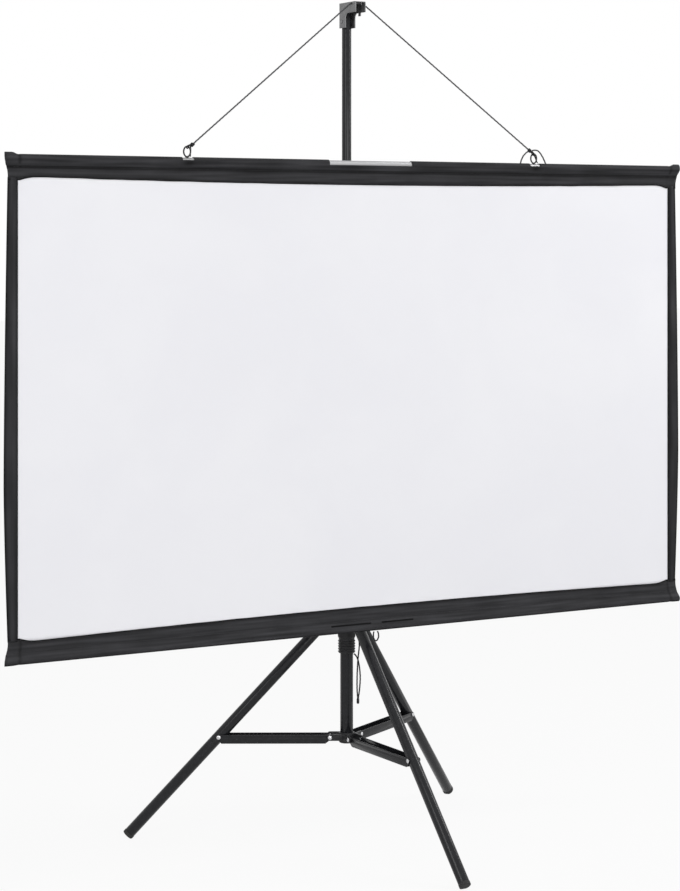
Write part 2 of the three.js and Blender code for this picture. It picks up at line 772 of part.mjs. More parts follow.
// Tie cord: a loop from the hub's grip and the column, half way between the front and right legs, with a bead
const gripSide = skirtRadius + seat + thinCordRadius;
const columnSide = columnRadius + seat + thinCordRadius;
const tieFoot = pivotHeight + skirtBottom;
const tieEnd = tieFoot - 98;
const beadReach = columnRadius + 10.6;
const tieSide = THREE.MathUtils.degToRad((legAzimuths.front + legAzimuths.right) / 2);
const tie = cord([
  [gripSide, 0, tieFoot + 38],
  [24.6, -0.5, tieFoot + 33],
  [27.4, -0.6, tieFoot + 20],
  [24.4, -1.7, tieFoot - 17],
  [22.8, -0.8, tieFoot - 50],
  [22.8, -0.4, tieFoot - 82],
  [beadReach, 0, tieEnd],
  [26.4, 0.4, tieFoot - 82],
  [26.6, 0.8, tieFoot - 50],
  [24, 1.7, tieFoot - 18],
  [19.5, 0.8, tieFoot - 6],
  [columnSide, 0, tieFoot - 3],
], thinCordRadius, 52);
stand.add(piece('tie_cord', tie.rotateZ(tieSide), darkCord));
const bead = rod(3, -beadLength, 0, 12).translate(beadReach, 0, tieEnd - seat - thinCordRadius);
stand.add(piece('tie_bead', bead.rotateZ(tieSide), blackPlastic));

// The frame's origin is the middle of the footprint, on the floor
stand.updateMatrixWorld(true);
const bounds = new THREE.Box3().setFromObject(stand);
stand.position.y = -(bounds.min.y + bounds.max.y) / 2;

export default stand;
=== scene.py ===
# Tripod projection screen: a cloth screen with tubes in its hems, hung by a cord from a folding stand.
# Every piece is in metres, +Z up, with the screen facing -Y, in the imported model's own frame.
import json
import math

import bmesh
import bpy
from mathutils import Matrix, Vector, noise
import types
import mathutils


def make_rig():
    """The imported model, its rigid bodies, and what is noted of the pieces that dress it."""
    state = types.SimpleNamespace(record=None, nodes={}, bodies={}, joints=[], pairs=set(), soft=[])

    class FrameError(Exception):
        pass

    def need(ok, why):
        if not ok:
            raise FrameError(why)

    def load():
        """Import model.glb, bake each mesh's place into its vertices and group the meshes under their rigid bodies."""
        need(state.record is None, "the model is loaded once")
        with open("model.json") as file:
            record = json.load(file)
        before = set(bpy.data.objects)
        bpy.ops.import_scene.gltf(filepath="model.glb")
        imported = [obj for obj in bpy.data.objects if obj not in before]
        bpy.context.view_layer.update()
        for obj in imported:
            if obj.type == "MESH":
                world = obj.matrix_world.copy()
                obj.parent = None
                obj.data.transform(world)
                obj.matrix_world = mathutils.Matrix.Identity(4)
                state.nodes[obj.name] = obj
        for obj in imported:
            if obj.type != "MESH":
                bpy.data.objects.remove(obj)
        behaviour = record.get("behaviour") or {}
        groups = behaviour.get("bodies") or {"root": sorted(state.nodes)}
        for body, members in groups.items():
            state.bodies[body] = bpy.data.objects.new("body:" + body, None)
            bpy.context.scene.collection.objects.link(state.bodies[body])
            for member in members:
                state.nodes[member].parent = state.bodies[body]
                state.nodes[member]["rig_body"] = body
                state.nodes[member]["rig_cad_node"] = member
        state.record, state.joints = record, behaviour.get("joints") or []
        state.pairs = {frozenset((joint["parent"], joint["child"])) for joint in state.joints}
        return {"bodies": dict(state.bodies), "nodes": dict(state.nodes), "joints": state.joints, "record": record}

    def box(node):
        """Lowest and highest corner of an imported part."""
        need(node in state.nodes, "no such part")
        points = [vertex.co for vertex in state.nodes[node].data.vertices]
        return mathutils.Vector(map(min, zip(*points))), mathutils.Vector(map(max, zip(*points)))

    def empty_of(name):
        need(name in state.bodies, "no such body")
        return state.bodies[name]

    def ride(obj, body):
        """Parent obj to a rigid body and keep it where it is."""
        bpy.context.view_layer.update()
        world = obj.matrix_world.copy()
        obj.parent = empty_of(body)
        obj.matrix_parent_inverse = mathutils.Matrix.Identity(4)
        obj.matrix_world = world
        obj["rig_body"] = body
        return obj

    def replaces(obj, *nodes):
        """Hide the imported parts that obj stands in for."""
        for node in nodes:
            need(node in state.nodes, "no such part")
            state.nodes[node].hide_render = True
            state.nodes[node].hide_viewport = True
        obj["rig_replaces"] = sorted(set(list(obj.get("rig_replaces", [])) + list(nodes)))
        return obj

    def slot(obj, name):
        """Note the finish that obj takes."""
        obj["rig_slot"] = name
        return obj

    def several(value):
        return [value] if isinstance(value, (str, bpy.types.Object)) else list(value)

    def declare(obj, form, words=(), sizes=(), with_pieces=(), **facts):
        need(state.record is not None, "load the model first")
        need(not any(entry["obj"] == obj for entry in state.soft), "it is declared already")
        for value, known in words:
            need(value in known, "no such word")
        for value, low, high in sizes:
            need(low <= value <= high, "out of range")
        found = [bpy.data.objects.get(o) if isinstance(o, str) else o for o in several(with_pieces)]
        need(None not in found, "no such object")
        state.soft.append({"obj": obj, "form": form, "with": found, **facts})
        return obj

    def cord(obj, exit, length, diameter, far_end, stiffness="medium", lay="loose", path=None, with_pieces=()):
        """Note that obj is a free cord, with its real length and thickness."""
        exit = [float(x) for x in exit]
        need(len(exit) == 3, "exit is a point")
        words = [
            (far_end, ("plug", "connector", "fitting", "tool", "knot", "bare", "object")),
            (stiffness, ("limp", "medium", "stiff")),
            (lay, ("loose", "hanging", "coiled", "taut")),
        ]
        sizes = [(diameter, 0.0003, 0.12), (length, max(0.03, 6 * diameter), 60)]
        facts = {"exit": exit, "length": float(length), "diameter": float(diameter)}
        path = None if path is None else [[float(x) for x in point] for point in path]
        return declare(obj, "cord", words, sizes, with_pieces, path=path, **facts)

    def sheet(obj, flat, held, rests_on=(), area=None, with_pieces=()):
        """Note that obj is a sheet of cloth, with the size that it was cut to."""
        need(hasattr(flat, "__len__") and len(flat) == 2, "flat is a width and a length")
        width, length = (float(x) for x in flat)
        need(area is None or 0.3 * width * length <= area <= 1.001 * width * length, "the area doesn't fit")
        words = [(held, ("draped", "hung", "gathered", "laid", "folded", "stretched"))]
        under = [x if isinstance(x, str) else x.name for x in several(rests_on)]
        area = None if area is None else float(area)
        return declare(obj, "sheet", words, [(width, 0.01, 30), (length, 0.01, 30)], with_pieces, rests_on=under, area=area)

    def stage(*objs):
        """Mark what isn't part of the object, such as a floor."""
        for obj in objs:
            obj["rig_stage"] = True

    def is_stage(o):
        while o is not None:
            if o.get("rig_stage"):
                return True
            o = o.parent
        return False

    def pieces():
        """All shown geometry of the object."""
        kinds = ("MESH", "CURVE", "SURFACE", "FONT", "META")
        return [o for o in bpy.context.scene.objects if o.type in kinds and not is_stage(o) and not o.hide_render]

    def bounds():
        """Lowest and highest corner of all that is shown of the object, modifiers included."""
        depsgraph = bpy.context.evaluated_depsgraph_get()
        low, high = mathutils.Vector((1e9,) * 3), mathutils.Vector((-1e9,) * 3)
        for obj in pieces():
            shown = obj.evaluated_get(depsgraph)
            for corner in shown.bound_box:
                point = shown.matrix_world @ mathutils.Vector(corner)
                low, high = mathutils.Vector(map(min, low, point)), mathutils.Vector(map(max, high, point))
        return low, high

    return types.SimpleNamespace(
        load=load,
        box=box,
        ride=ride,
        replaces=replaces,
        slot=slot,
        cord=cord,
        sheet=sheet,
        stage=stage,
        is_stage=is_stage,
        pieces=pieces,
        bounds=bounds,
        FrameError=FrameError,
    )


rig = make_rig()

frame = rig.load()
cad_box = [list(corner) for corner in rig.bounds()]
scene = bpy.context.scene
scene.view_settings.view_transform = "Standard"

# Studio: a level camera to the left of the screen's axis, a wide pale floor and soft light.
# The lamps are large, so the black tubes get long soft highlights and the cloth stays even.
LENS_MM = 95.85
CAMERA_PLACE = Vector((-2.5687, -4.3476, 1.3053))
CAMERA_TURN = math.radians(-30.28)
CAMERA_SHIFT = (-0.02415, -0.2347)
SKY_LIGHT = 0.38
SKY_SEEN = 1.0
FLOOR_HALF = 30.0
FLOOR_TONE = 0.7
FLOOR_GLOW_SHARE = 0.92
camera_data = bpy.data.cameras.new("camera")
camera_data.lens = LENS_MM
camera_data.sensor_width = 36.0
camera_data.sensor_fit = "AUTO"
camera_data.shift_x, camera_data.shift_y = CAMERA_SHIFT
camera_data.clip_end = 60.0
camera = bpy.data.objects.new("camera", camera_data)
camera.location = CAMERA_PLACE
camera.rotation_euler = (math.pi / 2, 0.0, CAMERA_TURN)
scene.collection.objects.link(camera)
scene.camera = camera


def background_share(tree):
    """One where a ray sees the plain background: from the camera, in a gloss or through something clear."""
    path = tree.nodes.new("ShaderNodeLightPath")
    share = path.outputs["Is Camera Ray"]
    for kind in ("Is Glossy Ray", "Is Transmission Ray"):
        either = tree.nodes.new("ShaderNodeMath")
        either.operation = "MAXIMUM"
        tree.links.new(share, either.inputs[0])
        tree.links.new(path.outputs[kind], either.inputs[1])
        share = either.outputs[0]
    return share


world = bpy.data.worlds.new("studio")
scene.world = world
world.use_nodes = True
sky = world.node_tree
sky.nodes.clear()
sky_mix = sky.nodes.new("ShaderNodeMixShader")
sky_out = sky.nodes.new("ShaderNodeOutputWorld")
sky.links.new(background_share(sky), sky_mix.inputs["Fac"])
for socket, strength in ((1, SKY_LIGHT), (2, SKY_SEEN)):
    white = sky.nodes.new("ShaderNodeBackground")
    white.inputs["Color"].default_value = (1.0, 1.0, 1.0, 1.0)
    white.inputs["Strength"].default_value = strength
    sky.links.new(white.outputs[0], sky_mix.inputs[socket])
sky.links.new(sky_mix.outputs[0], sky_out.inputs["Surface"])


def softbox(name, place, target, size, power):
    data = bpy.data.lights.new(name, "AREA")
    data.shape = "RECTANGLE"
    data.size = size[0]
    data.size_y = size[1]
    data.energy = power
    lamp = bpy.data.objects.new(name, data)
    lamp.location = place
    lamp.rotation_euler = (Vector(target) - Vector(place)).to_track_quat("-Z", "Y").to_euler()
    scene.collection.objects.link(lamp)


softbox("front", (-0.4, -5.6, 1.7), (0.0, 0.0, 0.9), (3.6, 2.4), 113.0)
softbox("key_left", (-3.4, -2.2, 2.3), (0.0, 0.0, 0.8), (1.2, 2.4), 40.0)
softbox("strip_right", (2.45, -0.95, 2.8), (0.0, -0.2, 0.3), (0.4, 2.6), 43.0)
softbox("rim_back", (1.6, 3.6, 2.8), (0.0, 0.0, 0.9), (2.0, 2.0), 14.0)

floor_mesh = bpy.data.meshes.new("floor")
floor_corners = [(x * FLOOR_HALF, y * FLOOR_HALF, 0.0) for x, y in ((-1, -1), (1, -1), (1, 1), (-1, 1))]
floor_mesh.from_pydata(floor_corners, [], [(0, 1, 2, 3)])
floor = bpy.data.objects.new("floor", floor_mesh)
scene.collection.objects.link(floor)
floor_paint = bpy.data.materials.new("pale_floor")
floor_paint.use_nodes = True
tree = floor_paint.node_tree
tree.nodes.clear()
floor_diffuse = tree.nodes.new("ShaderNodeBsdfDiffuse")
floor_diffuse.inputs["Color"].default_value = (FLOOR_TONE, FLOOR_TONE, FLOOR_TONE, 1.0)
floor_glow = tree.nodes.new("ShaderNodeEmission")
floor_glow.inputs["Color"].default_value = (1.0, 1.0, 1.0, 1.0)
floor_share = tree.nodes.new("ShaderNodeMath")
floor_share.operation = "MULTIPLY"
floor_share.inputs[1].default_value = FLOOR_GLOW_SHARE
floor_mix = tree.nodes.new("ShaderNodeMixShader")
floor_out = tree.nodes.new("ShaderNodeOutputMaterial")
tree.links.new(background_share(tree), floor_share.inputs[0])
tree.links.new(floor_share.outputs[0], floor_mix.inputs["Fac"])
tree.links.new(floor_diffuse.outputs[0], floor_mix.inputs[1])
tree.links.new(floor_glow.outputs[0], floor_mix.inputs[2])
tree.links.new(floor_mix.outputs[0], floor_out.inputs["Surface"])
floor_mesh.materials.append(floor_paint)
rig.stage(floor)

# Hanging cord: a thin dark twisted cord, one length from eye to eye, laid over the seat in the bracket.
# Each end goes round the top of its eye and is wound back on itself in a tight knot.
MM = 0.001
SIDES = (("left", -1), ("right", 1))
CORD_RADIUS = 1.75
CORD_LAY = 0.011
CORD_STRANDS = 3
CORD_STEP = 0.0016
KNOT_CORD_RADIUS = 1.45
KNOT_STEP = 0.0012
KNOT_FOOT_HEIGHT = 5.65
SCREEN_Y = -99.0
SEAT_CURVE = [(8.0, -44.0, 0.0), (13.0, -44.0, -0.3), (17.0, -44.4, -1.9), (26.0, -45.6, -8.5)]
column_low, column_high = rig.box("column_tube")
COLUMN_Y = (column_low[1] + column_high[1]) / 2
saddle_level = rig.box("hang_cord_saddle")[1][2] / MM - CORD_RADIUS
knot_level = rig.box("knot_left")[0][2] / MM + KNOT_FOOT_HEIGHT
EYE_X = {sign: sum(corner[0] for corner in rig.box(f"screw_eye_{side}")) / 2 / MM for side, sign in SIDES}


def place(x, y, z):
    """Point given in millimetres from the foot of the column's axis."""
    return Vector((x * MM, y * MM + COLUMN_Y, z * MM))


def smooth_route(points, step):
    """Points a step apart on one smooth curve through the given ones."""
    ends = [points[0] * 2 - points[1], *points, points[-1] * 2 - points[-2]]
    route = []
    for i in range(1, len(ends) - 2):
        a, b, c, d = ends[i - 1:i + 3]
        t1 = (b - a).length ** 0.5
        t2 = t1 + (c - b).length ** 0.5
        t3 = t2 + (d - c).length ** 0.5
        count = max(2, round((c - b).length / step))
        for k in range(count):
            t = t1 + (t2 - t1) * k / count
            p1 = a.lerp(b, t / t1)
            p2 = b.lerp(c, (t - t1) / (t2 - t1))
            p3 = c.lerp(d, (t - t2) / (t3 - t2))
            q1 = p1.lerp(p2, t / t2)
            q2 = p2.lerp(p3, (t - t1) / (t3 - t1))
            route.append(q1.lerp(q2, (t - t1) / (t2 - t1)))
    route.append(points[-1].copy())
    return route


def thinned(route, step):
    """Every so many points of a route, and its last one."""
    return [*route[:-1:step], route[-1]]


def route_length(route):
    return sum((b - a).length for a, b in zip(route, route[1:]))


def twisted_cord(name, route, radius, lay=CORD_LAY, sides=15):
    """Closed tube whose section has one lobe for each strand, turning along the route."""
    verts, faces = [], []
    side = (route[1] - route[0]).normalized().orthogonal().normalized()
    run = 0.0
    for i, point in enumerate(route):
        if i:
            run += (point - route[i - 1]).length
        tangent = (route[min(i + 1, len(route) - 1)] - route[max(i - 1, 0)]).normalized()
        side = (side - tangent * side.dot(tangent)).normalized()
        up = tangent.cross(side)
        for k in range(sides):
            angle = 2 * math.pi * k / sides
            swell = 0.9 + 0.1 * math.cos(CORD_STRANDS * angle - 2 * math.pi * run / lay)
            verts.append(point + (side * math.cos(angle) + up * math.sin(angle)) * radius * swell)
    for i in range(len(route) - 1):
        for k in range(sides):
            a, b = i * sides + k, i * sides + (k + 1) % sides
            faces.append((a, b, b + sides, a + sides))
    faces.append(tuple(reversed(range(sides))))
    last = (len(route) - 1) * sides
    faces.append(tuple(range(last, last + sides)))
    return mesh_object(name, verts, faces)


def mesh_object(name, verts, faces):
    """Smooth piece from points and faces, with its normals outwards."""
    mesh = bpy.data.meshes.new(name)
    mesh.from_pydata([tuple(v) for v in verts], [], faces)
    mesh.validate()
    form = bmesh.new()
    form.from_mesh(mesh)
    bmesh.ops.recalc_face_normals(form, faces=form.faces)
    form.to_mesh(mesh)
    form.free()
    mesh.polygons.foreach_set("use_smooth", [True] * len(mesh.polygons))
    piece = bpy.data.objects.new(name, mesh)
    scene.collection.objects.link(piece)
    return piece


def two_tones(nodes, positions, tones):
    """Ramp from one tone to another between two values."""
    ramp = nodes.new("ShaderNodeValToRGB")
    for element, position, tone in zip(ramp.color_ramp.elements, positions, tones):
        element.position = position
        element.color = (*tone, 1.0)
    return ramp


def grained(name, tones, roughness, scale, bump, metallic=0.0, stretch=(1.0, 1.0, 1.0), specular=0.5):
    """Finish with two tones and two roughnesses mixed by noise, and a bump from a finer noise."""
    material = bpy.data.materials.new(name)
    material.use_nodes = True
    nodes, links = material.node_tree.nodes, material.node_tree.links
    shader = nodes["Principled BSDF"]
    shader.inputs["Metallic"].default_value = metallic
    shader.inputs["Specular IOR Level"].default_value = specular
    where = nodes.new("ShaderNodeTexCoord")
    mapping = nodes.new("ShaderNodeMapping")
    mapping.inputs["Scale"].default_value = stretch
    cloud = nodes.new("ShaderNodeTexNoise")
    cloud.inputs["Scale"].default_value = scale * 0.08
    cloud.inputs["Detail"].default_value = 4.0
    fine = nodes.new("ShaderNodeTexNoise")
    fine.inputs["Scale"].default_value = scale
    fine.inputs["Detail"].default_value = 3.0
    tone = two_tones(nodes, (0.32, 0.68), tones)
    gloss = nodes.new("ShaderNodeMapRange")
    gloss.inputs["From Min"].default_value = 0.3
    gloss.inputs["From Max"].default_value = 0.7
    gloss.inputs["To Min"].default_value = roughness[0]
    gloss.inputs["To Max"].default_value = roughness[1]
    relief = nodes.new("ShaderNodeBump")
    relief.inputs["Strength"].default_value = bump
    relief.inputs["Distance"].default_value = 0.0002
    links.new(where.outputs["Object"], mapping.inputs["Vector"])
    links.new(mapping.outputs["Vector"], cloud.inputs["Vector"])
    links.new(mapping.outputs["Vector"], fine.inputs["Vector"])
    links.new(cloud.outputs["Fac"], tone.inputs["Fac"])
    links.new(tone.outputs["Color"], shader.inputs["Base Color"])
    links.new(cloud.outputs["Fac"], gloss.inputs["Value"])
    links.new(gloss.outputs["Result"], shader.inputs["Roughness"])
    links.new(fine.outputs["Fac"], relief.inputs["Height"])
    links.new(relief.outputs["Normal"], shader.inputs["Normal"])
    return material


def dress(piece, material, body=None, slot=None, nodes=()):
    """Gives a piece its finish, the body it moves with and the nodes it stands for."""
    piece.data.materials.clear()
    piece.data.materials.append(material)
    if body:
        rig.ride(piece, body)
    if slot:
        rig.slot(piece, slot)
    if nodes:
        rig.replaces(piece, *nodes)
    return piece


cord_fibre = grained("cord_fibre", ((0.035, 0.035, 0.038), (0.075, 0.075, 0.08)), (0.7, 0.9),
                     scale=2600.0, bump=0.5)
# A darker fibre: the thin cords' own tone, and on the knots painted shade for the shadow between their tight turns.
dark_fibre_and_knot_shade = grained("dark_cord_fibre_and_knot_shade", ((0.008, 0.008, 0.009), (0.02, 0.02, 0.022)), (0.7, 0.9),
                      scale=2600.0, bump=0.5, specular=0.3)

EYE_TURN_RADIUS = 3.9
WINDING_RADIUS = 3.0
STEPS_PER_TURN = 8
TURN_PITCH = 0.3
TURN_STEPS = 22
KNOT_END = {-1: [(10.0, 3.6, -3.0), (9.9, 3.6, -9.0), (9.4, 3.6, -15.0), (8.8, 3.6, -20.5)],
            1: [(-3.0, 3.6, 3.0), (2.5, 3.8, 0.5), (6.0, 3.6, -7.0), (9.3, 3.6, -14.0), (12.5, 3.6, -20.5)]}
KNOT_FOOT = {-1: Vector((9.3, 0.0, 2.2)), 1: Vector((-8.5, 0.0, 5.2))}
KNOT_LEAN = (-0.80, 0.11, 0.59)
knot_axis = {sign: Vector((KNOT_LEAN[0] * sign, *KNOT_LEAN[1:])).normalized() for sign in (-1, 1)}
knot_start = {sign: KNOT_FOOT[sign] + knot_axis[sign] * TURN_PITCH * TURN_STEPS / 2 for sign in (-1, 1)}


def along(start, end, share):
    """Point a share of the way from one point to another."""
    return tuple(a + (b - a) * share for a, b in zip(start, end))


def cord_half(sign):
    """Points of one side of the cord, from the middle of the seat to its knot."""
    over_seat = [(sign * x, y, saddle_level + z) for x, y, z in SEAT_CURVE]
    knot = knot_start[sign] + Vector((EYE_X[sign], SCREEN_Y, knot_level))
    taut = [along(over_seat[-1], knot, share) for share in (0.06, 0.2, 0.4, 0.6, 0.8, 0.94)]
    return [*over_seat, *taut, knot]


hang_route = smooth_route([place(*p) for p in [*reversed(cord_half(-1)), *cord_half(1)]], CORD_STEP)
hang_cord = dress(twisted_cord("hang_cord", hang_route, CORD_RADIUS * MM), cord_fibre, "mast", "dark_cord",
                  ["hang_cord_left", "hang_cord_saddle", "hang_cord_right"])


def knot_route(sign):
    """Down in front of the eye's wire, under it, up behind, then wound back along the standing part.

    The end hangs down behind the eye, on its right.
    """
    turn = EYE_TURN_RADIUS
    foot_x, _, foot_z = KNOT_FOOT[sign]
    points = [knot_start[sign], (foot_x * 0.55, -2.4, foot_z * 0.55 + 1.0), (-2.4 * sign, -turn, 1.0),
              (-1.2 * sign, -2.6, -2.9), (-0.6 * sign, 0.3, -turn), (-0.6 * sign, 3.0, -2.5),
              (-2.0 * sign, turn, 1.0), (foot_x * 0.75, 4.0, foot_z * 0.75 + 1.5)]
    across = knot_axis[sign].cross(Vector((0.0, 1.0, 0.0))).normalized()
    third = knot_axis[sign].cross(across)
    for k in range(TURN_STEPS):
        angle = 2 * math.pi * k / STEPS_PER_TURN + math.pi / 2
        spot = KNOT_FOOT[sign] + knot_axis[sign] * TURN_PITCH * (TURN_STEPS - 1 - k)
        points.append(spot + (across * math.cos(angle) + third * math.sin(angle)) * WINDING_RADIUS)
    points += KNOT_END[sign]
    spots = [place(EYE_X[sign] + x, SCREEN_Y + y, knot_level + z) for x, y, z in points]
    return smooth_route(spots, KNOT_STEP)


knots = []
for side, sign in SIDES:
    knot = twisted_cord(f"knot_{side}_turns", knot_route(sign), KNOT_CORD_RADIUS * MM, sides=12)
    knots.append(dress(knot, dark_fibre_and_knot_shade, "mast", "dark_cord", [f"knot_{side}"]))
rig.cord(hang_cord, exit=hang_route[0], length=route_length(hang_route), diameter=2 * CORD_RADIUS * MM,
        far_end="knot", stiffness="limp", lay="taut", path=thinned(hang_route, 3), with_pieces=knots)

# Loose tail of the right-hand knot: the spare cord, left as a loop that drops behind the top bar.
# It springs out of the knot on both sides, because the twisted cord is a little stiff.
TAIL_BEHIND = SCREEN_Y + 12.5
tail_points = [(-7, SCREEN_Y - 3.0, 6), (-14, SCREEN_Y, 5), (-24, SCREEN_Y + 1, -2),
               (-29, SCREEN_Y + 5, -13), (-27, TAIL_BEHIND, -29), (-17, TAIL_BEHIND, -45),
               (6, TAIL_BEHIND, -52), (32, TAIL_BEHIND, -47), (44, TAIL_BEHIND, -32),
               (35, SCREEN_Y + 8, -16), (22, SCREEN_Y + 1, -3), (14, SCREEN_Y, 5),
               (5, SCREEN_Y - 1.0, 8), (-5, SCREEN_Y - 3.0, 7)]
tail_route = smooth_route([place(EYE_X[1] + x, y, knot_level + z) for x, y, z in tail_points], CORD_STEP)
cord_tail = twisted_cord("cord_tail_loop", tail_route, CORD_RADIUS * MM)
dress(cord_tail, cord_fibre, "mast", "dark_cord", ["cord_tail"])
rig.cord(cord_tail, exit=tail_route[0], length=route_length(tail_route), diameter=2 * CORD_RADIUS * MM,
        far_end="object", stiffness="medium", lay="hanging", path=thinned(tail_route, 2))

# Tie cord: a thin lanyard from the hub's grip to the column, kept for tying the folded stand together.
# Its two strands cross just under the grip, and both end in a small bead.
THIN_RADIUS = 1.7
THIN_LAY = 0.008
TIE_STEP = 0.0014
CORD_GAP = 0.3
GRIP_RADIUS = 18.75
TIE_SIDE = math.radians(-30)
hub_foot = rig.box("leg_hub")[0][2] / MM
grip_side = GRIP_RADIUS + CORD_GAP + THIN_RADIUS
tie_points = {"grip": [(grip_side, 0, 38), (24.6, -0.5, 33), (27.4, -0.6, 20), (24.4, -1.7, -17),
                       (22.8, -0.8, -50), (22.8, -0.4, -82), (24.2, 0, -101)],
              "column": [(25.0, 0, -101), (28.0, 0.4, -80), (29.4, 0.8, -50), (25, 1.7, -18),
                         (19.5, 0.8, -6), (15.7, 0, -3)]}


def tie_place(out, aside, up):
    """Point at a distance out from the column's axis, aside, and up from the hub's foot."""
    x = out * math.cos(TIE_SIDE) - aside * math.sin(TIE_SIDE)
    y = out * math.sin(TIE_SIDE) + aside * math.cos(TIE_SIDE)
    return place(x, y, hub_foot + up)


tie_strands = []
for held_by, points in tie_points.items():
    route = smooth_route([tie_place(*point) for point in points], TIE_STEP)
    strand = twisted_cord(f"tie_cord_{held_by}_strand", route, THIN_RADIUS * MM, lay=THIN_LAY, sides=12)
    tie_strands.append((dress(strand, dark_fibre_and_knot_shade, "column", "dark_cord", ["tie_cord"]), route))

# Loop under the lower hem: a short pull of the same thin cord, for drawing the screen down.
# Both its ends are sewn into the hem, beside the middle.
LOOP_CENTRE = 15.0
hem_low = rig.box("bottom_hem")[0][2] / MM
loop_top = hem_low - CORD_GAP - THIN_RADIUS
loop_points = [(-5, 0), (-6, -9), (-4.2, -16.5), (0.5, -20.3), (5.2, -16.5), (7, -9), (4.5, 0)]
loop_route = smooth_route([place(LOOP_CENTRE + x, SCREEN_Y, loop_top + z) for x, z in loop_points], KNOT_STEP)
pull_loop = twisted_cord("pull_loop", loop_route, THIN_RADIUS * MM, lay=THIN_LAY, sides=12)
dress(pull_loop, dark_fibre_and_knot_shade, "screen", "dark_cord", ["bottom_loop"])
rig.cord(pull_loop, exit=loop_route[0], length=route_length(loop_route), diameter=2 * THIN_RADIUS * MM,
        far_end="object", stiffness="limp", lay="hanging", path=loop_route)

# Bead on the tie cord: a small turned plastic toggle with rounded ends, the cord's dark tip.
# It is of the same black plastic as the stand's mouldings.
moulded = grained("moulded_black_plastic", ((0.013, 0.013, 0.014), (0.021, 0.021, 0.023)), (0.36, 0.5),
                  scale=900.0, bump=0.25, specular=0.25)
BEAD_PROFILE = [(0, -6), (1.8, -6), (2.6, -5.4), (3, -4), (3, 3.6), (2.6, 5), (1.6, 6), (0, 6)]


def turned(name, profile, sides, turn):
    """Form turned about Z from (radius, level) points in millimetres, then placed by a matrix.

    Its first and last points are on the axis.
    """
    verts, faces, rings = [], [], []
    for radius, level in profile:
        if radius < 1e-6:
            rings.append([len(verts)])
            verts.append(Vector((0.0, 0.0, level * MM)))
            continue
        start = len(verts)
        rings.append(list(range(start, start + sides)))
        for k in range(sides):
            angle = 2 * math.pi * k / sides
            verts.append(Vector((radius * math.cos(angle), radius * math.sin(angle), level)) * MM)
    for low, high in zip(rings, rings[1:]):
        for k in range(sides):
            n = (k + 1) % sides
            if len(low) == 1:
                faces.append((low[0], high[n], high[k]))
            elif len(high) == 1:
                faces.append((low[k], low[n], high[0]))
            else:
                faces.append((low[k], low[n], high[n], high[k]))
    piece = mesh_object(name, [turn @ v for v in verts], faces)
    sharpen(piece, 35.0)
    return piece


def sharpen(piece, degrees):
    """Smooth shading that breaks at the edges of a form."""
    form = bmesh.new()
    form.from_mesh(piece.data)
    for edge in form.edges:
        if len(edge.link_faces) == 2:
            edge.smooth = edge.calc_face_angle(0.0) < math.radians(degrees)
    form.to_mesh(piece.data)
    form.free()


bead_low, bead_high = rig.box("tie_bead")
bead_turn = Matrix.Translation(Vector([(a + b) / 2 for a, b in zip(bead_low, bead_high)]))
bead = turned("tie_bead_turned", BEAD_PROFILE, 32, bead_turn)
dress(bead, moulded, "column", "black_plastic", ["tie_bead"])
for (strand, route), far_end, on_it in zip(tie_strands, ("fitting", "object"), ([bead], [])):
    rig.cord(strand, exit=route[0], length=route_length(route), diameter=2 * THIN_RADIUS * MM, far_end=far_end,
            stiffness="limp", lay="hanging", path=thinned(route, 2), with_pieces=on_it)

# Column: the stand's lowest and widest tube, steel with a satin black powder coat, plugged at its foot.
# The plug's flange is the stop that the strut collar rests on when the stand is open.
powder_coat = grained(
    "satin_black_powder_coat", ((0.011, 0.0115, 0.013), (0.017, 0.0175, 0.02)), (0.18, 0.26),
    scale=1500.0, bump=0.1, specular=0.22)
SAME_SPOT = 1e-6
FLAT_DEGREES = 0.6
ROUNDED_DEGREES = 33.0
CREASE_DEGREES = 48.0
slot_of = {part["node"]: part["material_slot"] for part in frame["record"]["subparts"]}
body_of = {node: body for body, nodes in frame["record"]["behaviour"]["bodies"].items() for node in nodes}


def settle(piece):
    """Makes live modifiers into plain mesh."""
    graph = bpy.context.evaluated_depsgraph_get()
    made = bpy.data.meshes.new_from_object(piece.evaluated_get(graph))
    piece.modifiers.clear()
    piece.data = made


def softened(node, material, edge=0.4):
    """Copy of a hard node with its sharp edges rounded and its curves shaded smooth, standing for it."""
    form = bmesh.new()
    form.from_mesh(frame["nodes"][node].data)
    bmesh.ops.remove_doubles(form, verts=form.verts, dist=SAME_SPOT)
    bmesh.ops.dissolve_limit(form, angle_limit=math.radians(FLAT_DEGREES), verts=form.verts, edges=form.edges)
    mesh = bpy.data.meshes.new(f"{node}_finished")
    form.to_mesh(mesh)
    form.free()
    piece = bpy.data.objects.new(f"{node}_finished", mesh)
    scene.collection.objects.link(piece)
    rounding = piece.modifiers.new("rounding", "BEVEL")
    rounding.width = edge * MM
    rounding.segments = 2
    rounding.limit_method = "ANGLE"
    rounding.angle_limit = math.radians(ROUNDED_DEGREES)
    settle(piece)
    piece.data.polygons.foreach_set("use_smooth", [True] * len(piece.data.polygons))
    sharpen(piece, CREASE_DEGREES)
    return dress(piece, material, body_of[node], slot_of[node], [node])


softened("column_tube", powder_coat)
softened("column_end_plug", moulded, 0.5)

# Leg hub: one moulded sleeve, screwed to the column, with a ribbed grip below and open bearings for the legs.
# Upright ribs stand in a ring above the grip, where the moulding is thickest.
softened("leg_hub", moulded, 0.35)
bright_steel = grained("bright_steel", ((0.5, 0.5, 0.51), (0.66, 0.66, 0.67)), (0.24, 0.36),
                       scale=1200.0, bump=0.1, metallic=1.0)
softened("hub_screw", bright_steel, 0.3)


def group_input(group, name, kind, value=None):
    """Adds an input to a tree, with its usual value."""
    socket = group.interface.new_socket(name, in_out="INPUT", socket_type=kind)
    if value is not None:
        socket.default_value = value


